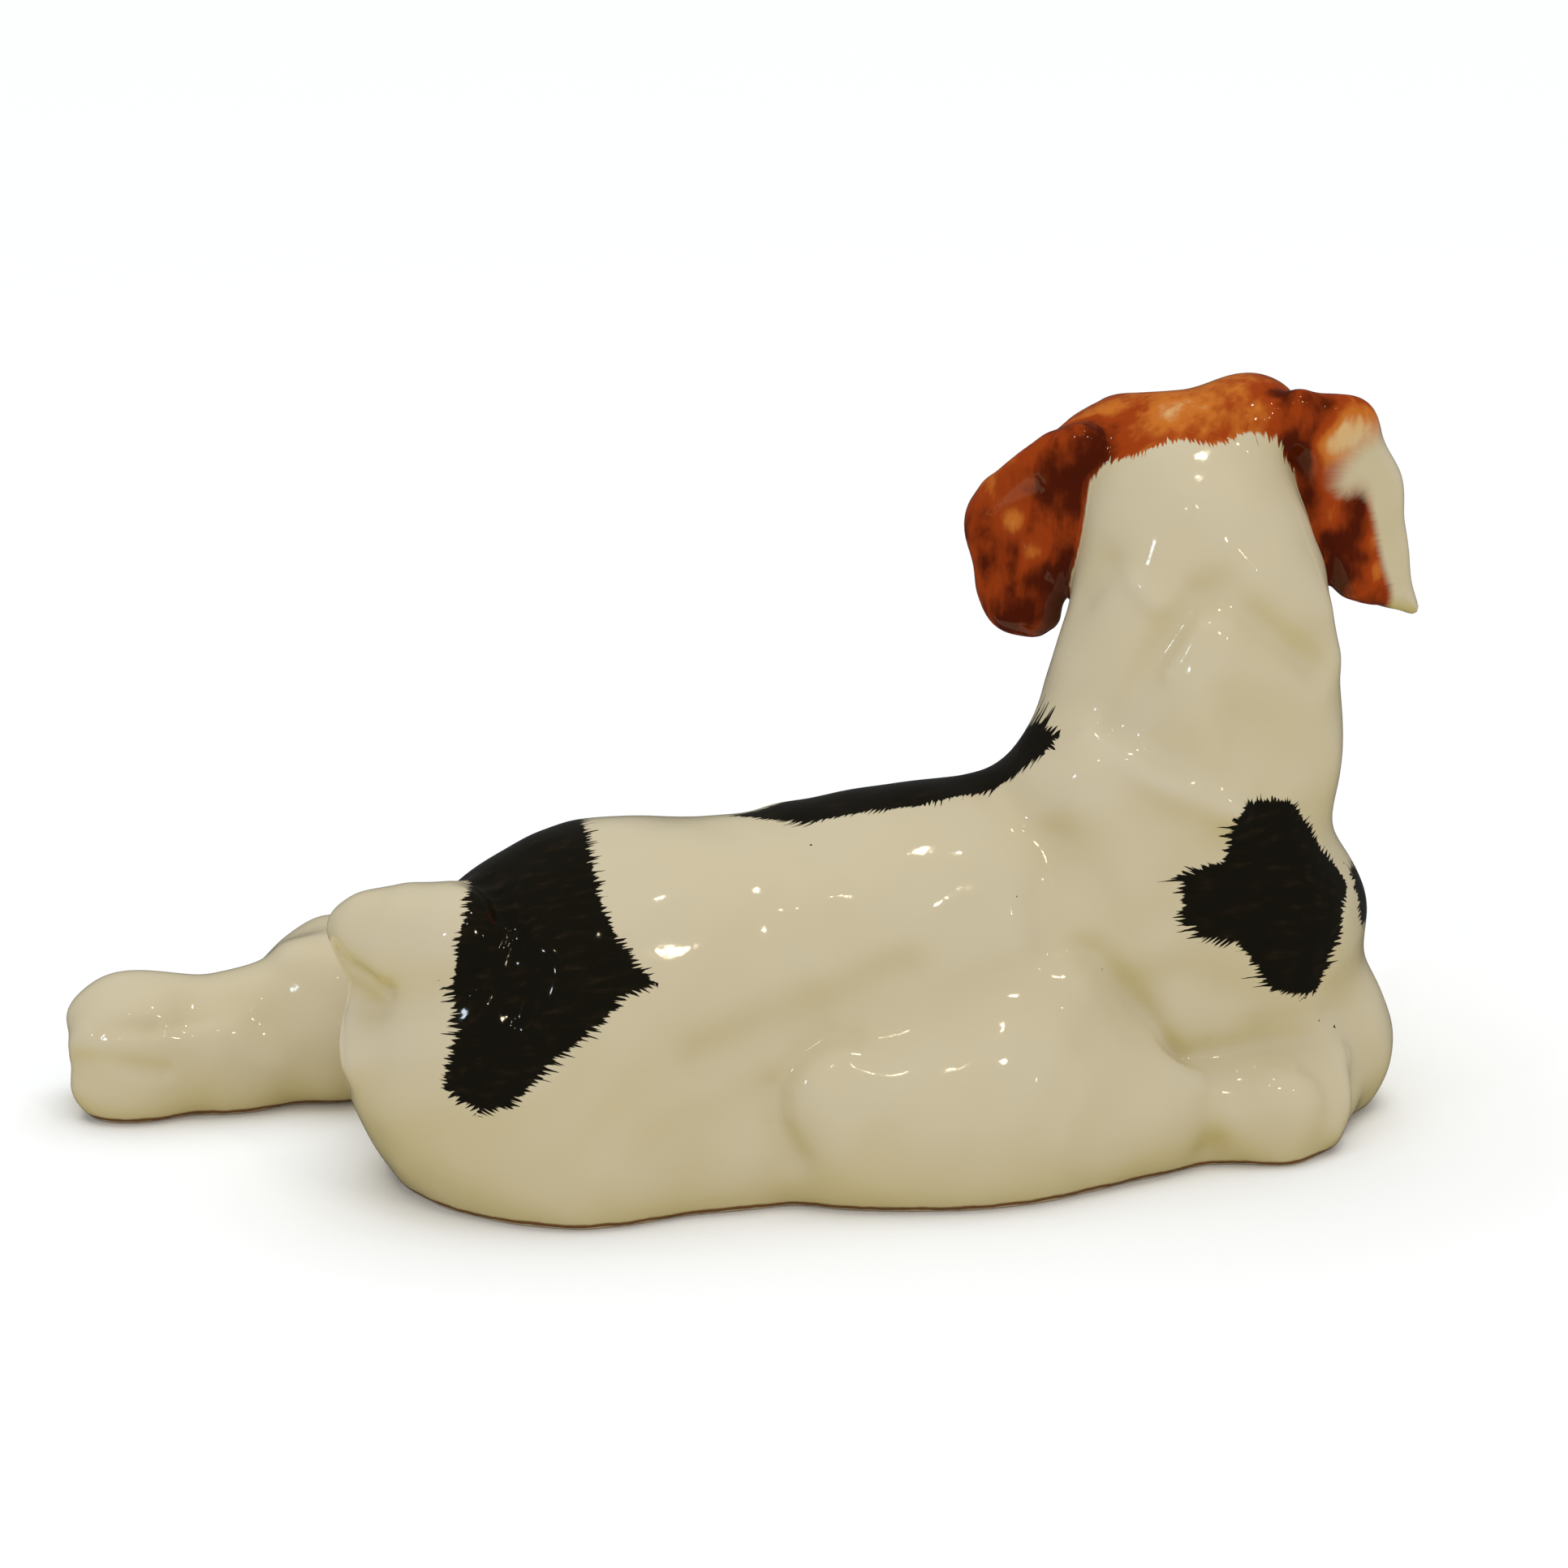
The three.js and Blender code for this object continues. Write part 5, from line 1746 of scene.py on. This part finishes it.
@dataclass(frozen=True)
class RustGlaze(IvoryGlaze):
    """Clear glaze over brushed rust paint, with the cream clay where the paint leaves off."""

    name: str = "rust_glaze"
    dark: Paint = srgb(78, 22, 2)
    middle: Paint = srgb(160, 62, 14)
    light: Paint = srgb(200, 112, 40)
    pale: Paint = srgb(218, 178, 122)
    rust_pitch: float = 0.7
    rust_reach: float = 1.1
    rust_blur: float = 0.35
    streaks: float = 0.5
    # How much the rust darkens in hollows: pooled glaze and painted shade.
    pooled_and_shaded_tone: float = 0.7
    dark_band: Flat = (0.05, 0.42)
    light_band: Flat = (0.42, 0.7)
    pale_band: Flat = (0.7, 1.0)

    def rust(self, wiring: Wiring) -> bpy.types.NodeSocket:
        """Grades the rust paint from its darkest tone to its palest.

        Args:
            wiring: The wiring of the glaze's tree.

        Returns:
            The rust paint's colour.
        """
        hollow = wiring.attribute("near_hollow")
        tone = wiring.attribute("rust_tone")
        # The rust is darkened in the hollows, as pooled glaze and painted shade.
        laid = wiring.maths("MULTIPLY_ADD", hollow, -self.pooled_and_shaded_tone, tone)
        tone = RustWash().lay(wiring, {"Tone": laid, "Streaks": self.streaks})
        colour = wiring.mixed(wiring.ramp(tone, *self.dark_band), self.dark, self.middle)
        colour = wiring.mixed(wiring.ramp(tone, *self.light_band), colour, self.light)
        return wiring.mixed(wiring.ramp(tone, *self.pale_band), colour, self.pale)

    def painted(self, wiring: Wiring, colour: bpy.types.NodeSocket) -> bpy.types.NodeSocket:
        """Paints the black and the rust over the clay's colour.

        Args:
            wiring: The wiring of the glaze's tree.
            colour: The colour of the glazed clay.

        Returns:
            The painted colour.
        """
        colour = super().painted(wiring, colour)
        blur = wiring.maths("ADD", wiring.attribute("rust_blur"), self.rust_blur)
        cover = Fringe().lay(wiring, {
            "Edge": wiring.attribute("rust_edge"), "Run": wiring.attribute("rust_run"),
            "Pitch": self.rust_pitch, "Blur": blur,
            "Reach": wiring.maths("MULTIPLY", wiring.attribute("rust_reach"), self.rust_reach),
        })
        return wiring.mixed(cover, colour, self.rust(wiring))


@dataclass(frozen=True)
class HeadGlaze(RustGlaze):
    """Clear glaze over the rust crown, the inked face and the eyes."""

    name: str = "head_glaze"
    iris: Paint = srgb(104, 56, 20)
    iris_size: float = 1.8
    pupil_size: float = 0.9
    ink_blur: float = 0.12

    def painted(self, wiring: Wiring, colour: bpy.types.NodeSocket) -> bpy.types.NodeSocket:
        """Paints the rust, the eyes and the ink over the clay's colour.

        Args:
            wiring: The wiring of the glaze's tree.
            colour: The colour of the glazed clay.

        Returns:
            The painted colour.
        """
        colour = super().painted(wiring, colour)
        gap = wiring.attribute("eye_gap")
        off_iris = wiring.ramp(gap, self.iris_size, self.iris_size + self.ink_blur)
        off_pupil = wiring.ramp(gap, self.pupil_size, self.pupil_size + self.ink_blur)
        eye = wiring.mixed(off_pupil, self.black, self.iris)
        colour = wiring.mixed(off_iris, eye, colour)
        off_ink = wiring.ramp(wiring.attribute("ink_edge"), 0.0, self.ink_blur)
        return wiring.mixed(off_ink, self.black, colour)


@dataclass(frozen=True)
class IronSpeck:
    """The dark glassy iron of the specks."""

    name: str = "iron_speck"
    dark: Paint = srgb(84, 52, 30)
    brown: Paint = srgb(136, 92, 58)
    gloss: float = 0.15
    cloud_scale: float = 420.0
    cloud_band: Flat = (0.4, 0.6)

    def material(self) -> bpy.types.Material:
        """Wires the finished iron.

        Returns:
            The material.
        """
        made = bpy.data.materials.new(self.name)
        made.use_nodes = True
        wiring = Wiring(made.node_tree)
        cloud = wiring.noise(wiring.place(), self.cloud_scale, 1.0)
        shader = made.node_tree.nodes["Principled BSDF"]
        shader.inputs["Roughness"].default_value = self.gloss
        colour = wiring.mixed(wiring.ramp(cloud, *self.cloud_band), self.dark, self.brown)
        made.node_tree.links.new(colour, shader.inputs["Base Color"])
        return made


@dataclass(frozen=True)
class IronSpecks:
    """The few iron specks that bled up through the glaze, scattered over the figure."""

    density: float = 420.0
    seed: int = 11
    smallest: float = 0.00009
    largest: float = 0.0002
    flatness: float = 0.16
    above: float = 0.002

    def mesh(self, shell: bpy.types.Object, speck: bpy.types.Material) -> bpy.types.Object:
        """Scatters the specks.

        Args:
            shell: The figure's outer surface, which is used up.
            speck: The material of the specks.

        Returns:
            The specks as one object.
        """
        layer = shell.modifiers.new("specks", "NODES")
        layer.node_group = self.tree(speck)
        sizes = {"Density": self.density, "Seed": self.seed, "Smallest": self.smallest}
        sizes |= {"Largest": self.largest, "Flatness": self.flatness, "Above": self.above}
        for socket in layer.node_group.interface.items_tree:
            if socket.in_out == "INPUT" and socket.name in sizes:
                layer[socket.identifier] = sizes[socket.name]
        depsgraph = bpy.context.evaluated_depsgraph_get()
        mesh = bpy.data.meshes.new_from_object(shell.evaluated_get(depsgraph))
        bpy.data.objects.remove(shell)
        mesh.name = "iron_specks"
        made = bpy.data.objects.new("iron_specks", mesh)
        bpy.context.scene.collection.objects.link(made)
        return made

    def tree(self, speck: bpy.types.Material) -> bpy.types.NodeTree:
        """Builds the node group that scatters flattened beads over a surface.

        Args:
            speck: The material of the beads.

        Returns:
            The node group.
        """
        made = bpy.data.node_groups.new("scatter_specks", "GeometryNodeTree")
        made.interface.new_socket("Geometry", in_out="INPUT", socket_type="NodeSocketGeometry")
        for name in ("Density", "Smallest", "Largest", "Flatness", "Above"):
            made.interface.new_socket(name, in_out="INPUT", socket_type="NodeSocketFloat")
        made.interface.new_socket("Seed", in_out="INPUT", socket_type="NodeSocketInt")
        made.interface.new_socket("Geometry", in_out="OUTPUT", socket_type="NodeSocketGeometry")
        start, end = made.nodes.new("NodeGroupInput"), made.nodes.new("NodeGroupOutput")
        given, wiring = start.outputs, Wiring(made)
        place = wiring.node("GeometryNodeInputPosition", {}).outputs[0]
        height = wiring.node("ShaderNodeSeparateXYZ", {0: place})
        high = wiring.node("FunctionNodeCompare", {0: height.outputs[2], 1: given["Above"]})
        points = wiring.node("GeometryNodeDistributePointsOnFaces", {
            "Mesh": given["Geometry"], "Selection": high.outputs[0],
            "Density": given["Density"], "Seed": given["Seed"],
        })
        bead = wiring.node("GeometryNodeMeshIcoSphere", {"Radius": 1.0, "Subdivisions": 2})
        size = wiring.node("FunctionNodeRandomValue", {
            2: given["Smallest"], 3: given["Largest"], "Seed": given["Seed"],
        })
        flat = wiring.node("ShaderNodeCombineXYZ", {0: 1.0, 1: 1.0, 2: given["Flatness"]})
        both = {0: flat.outputs[0], 3: size.outputs[1]}
        scale = wiring.node("ShaderNodeVectorMath", both, operation="SCALE")
        beads = wiring.node("GeometryNodeInstanceOnPoints", {
            "Points": points.outputs["Points"], "Instance": bead.outputs["Mesh"],
            "Rotation": points.outputs["Rotation"], "Scale": scale.outputs[0],
        })
        real = wiring.node("GeometryNodeRealizeInstances", {"Geometry": beads.outputs[0]})
        inked = wiring.node("GeometryNodeSetMaterial", {
            "Geometry": real.outputs[0], "Material": speck,
        })
        made.links.new(inked.outputs[0], end.inputs["Geometry"])
        return made

    def dress(self, made: bpy.types.Object) -> None:
        """Puts the specks on the figure."""
        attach(made, "root")


# Camera, light and floor


class LampKind(Enum):
    """The kinds of lamp."""

    WINDOW = "AREA"
    SOFTBOX = "SUN"


@dataclass(frozen=True)
class Lamp:
    """A lamp, by the direction that it shines from.

    It is a small window that the glaze reflects, or a distant softbox that the glaze doesn't,
    whose size is the angle over which its light is spread.
    """

    name: str
    kind: LampKind
    aim: Flat
    size: float
    power: float
    colour: Vec
    far: float = 0.9
    middle: float = 0.04

    def hang(self) -> None:
        """Hangs the lamp."""
        data = bpy.data.lights.new(self.name, self.kind.value)
        data.energy, data.color = self.power, self.colour
        if self.kind is LampKind.WINDOW:
            data.size = self.size
        else:
            data.angle = math.radians(self.size)
        made = bpy.data.objects.new(self.name, data)
        turn, tilt = (math.radians(angle) for angle in self.aim)
        level = math.cos(tilt)
        way = Vector((math.sin(turn) * level, -math.cos(turn) * level, math.sin(tilt)))
        made.location = way * self.far + Vector((0, 0, self.middle))
        made.rotation_euler = way.to_track_quat("Z", "Y").to_euler()
        made.visible_glossy = self.kind is LampKind.WINDOW
        bpy.context.scene.collection.objects.link(made)


@dataclass(frozen=True)
class Studio:
    """The camera at the photograph's place, the lamps and the pale floor."""

    target: Vec = (0, 0, 44)
    azimuth: float = -14.0
    elevation: float = 17.0
    distance: float = 0.7
    lens: float = 135.87
    sensor: float = 36.0
    lamps: Sequence[Lamp] = (
        Lamp("warm_window", LampKind.WINDOW, (25, 48), 0.045, 0.3, (1, 0.85, 0.6)),
        Lamp("warm_ceiling", LampKind.WINDOW, (60, 76), 0.035, 0.16, (1, 0.88, 0.65)),
        Lamp("cool_window", LampKind.WINDOW, (-62, 42), 0.06, 0.25, (0.75, 0.88, 1)),
        Lamp("left_bulb", LampKind.WINDOW, (-28, 58), 0.018, 0.05, (1, 0.86, 0.6)),
        Lamp("middle_bulb", LampKind.WINDOW, (2, 63), 0.018, 0.05, (1, 0.86, 0.6)),
        Lamp("right_bulb", LampKind.WINDOW, (44, 36), 0.018, 0.05, (1, 0.86, 0.6)),
        Lamp("overhead_softbox", LampKind.SOFTBOX, (160, 72), 70, 1.42, (0.9, 0.96, 1)),
        Lamp("front_softbox", LampKind.SOFTBOX, (-20, 24), 60, 0.3, (1, 0.94, 0.84)),
    )
    sky: float = 0.57
    reflected_sky: float = 0.05
    paper: Paint = (0.97, 0.97, 0.97, 1)
    paper_roughness: float = 0.9
    floor_size: float = 12.0

    def look(self) -> np.ndarray:
        """Finds which way the camera looks.

        Returns:
            The direction, of length 1.
        """
        turn, tilt = math.radians(self.azimuth), math.radians(self.elevation)
        level = math.cos(tilt)
        return np.array([-math.sin(turn) * level, math.cos(turn) * level, -math.sin(tilt)])

    def camera(self, skin: Skin) -> None:
        """Sets up the camera.

        Args:
            skin: The skin, in whose place the target lies.
        """
        data = bpy.data.cameras.new("camera")
        data.lens, data.sensor_width, data.sensor_fit = self.lens, self.sensor, "HORIZONTAL"
        made = bpy.data.objects.new("camera", data)
        target = skin.placed(np.reshape(self.target, (3, 1))).ravel()
        made.location = target - self.look() * self.distance
        made.rotation_euler = Vector(self.look()).to_track_quat("-Z", "Y").to_euler()
        bpy.context.scene.collection.objects.link(made)
        bpy.context.scene.camera = made

    def floor(self) -> None:
        """Lays the floor."""
        bpy.ops.mesh.primitive_plane_add(size=self.floor_size)
        made = bpy.context.object
        made.name = "floor"
        made.visible_glossy = False
        paper = bpy.data.materials.new("floor_paper")
        paper.use_nodes = True
        shader = paper.node_tree.nodes["Principled BSDF"]
        shader.inputs["Base Color"].default_value = self.paper
        shader.inputs["Roughness"].default_value = self.paper_roughness
        shader.inputs["Specular IOR Level"].default_value = 0.0
        made.data.materials.append(paper)

    def world(self) -> None:
        """Sets the even light from all round, which reflections show dimly."""
        made = bpy.data.worlds.new("studio")
        made.use_nodes = True
        wiring = Wiring(made.node_tree)
        path = wiring.node("ShaderNodeLightPath", {}).outputs
        drop = self.reflected_sky - self.sky
        strength = wiring.maths("MULTIPLY_ADD", path["Is Glossy Ray"], drop, self.sky)
        strength = wiring.maths("MAXIMUM", strength, path["Is Camera Ray"])
        background = made.node_tree.nodes["Background"]
        background.inputs["Color"].default_value = (1, 1, 1, 1)
        made.node_tree.links.new(strength, background.inputs["Strength"])
        bpy.context.scene.world = made

    def light(self) -> None:
        """Hangs the lamps."""
        for lamp in self.lamps:
            lamp.hang()
        bpy.context.scene.view_settings.view_transform = "Standard"


def main() -> None:
    """Builds the figure piece by piece, and reports each."""
    logging.basicConfig(level=logging.INFO, format="%(name)s: %(message)s")
    skin = Skin(Figure(), FINE_CELL)
    LOG.info("skin: %d vertices", skin.points.shape[1])
    ivory, head, rust = (glaze.material() for glaze in (IvoryGlaze(), HeadGlaze(), RustGlaze()))
    glazes = {"head": head, LEFT_EAR.node: rust, RIGHT_EAR.node: rust}
    for piece in PIECES:
        made = piece.mesh(skin)
        piece.dress(made, glazes.get(piece.node, ivory))
        LOG.info("%s: %d faces", made.name, len(made.data.polygons))
    specks = IronSpecks()
    scattered = specks.mesh(skin.shell(), IronSpeck().material())
    specks.dress(scattered)
    LOG.info("%s: %d faces", scattered.name, len(scattered.data.polygons))
    studio = Studio()
    studio.camera(skin)
    studio.world()
    studio.floor()
    studio.light()


if __name__ == "__main__":
    main()
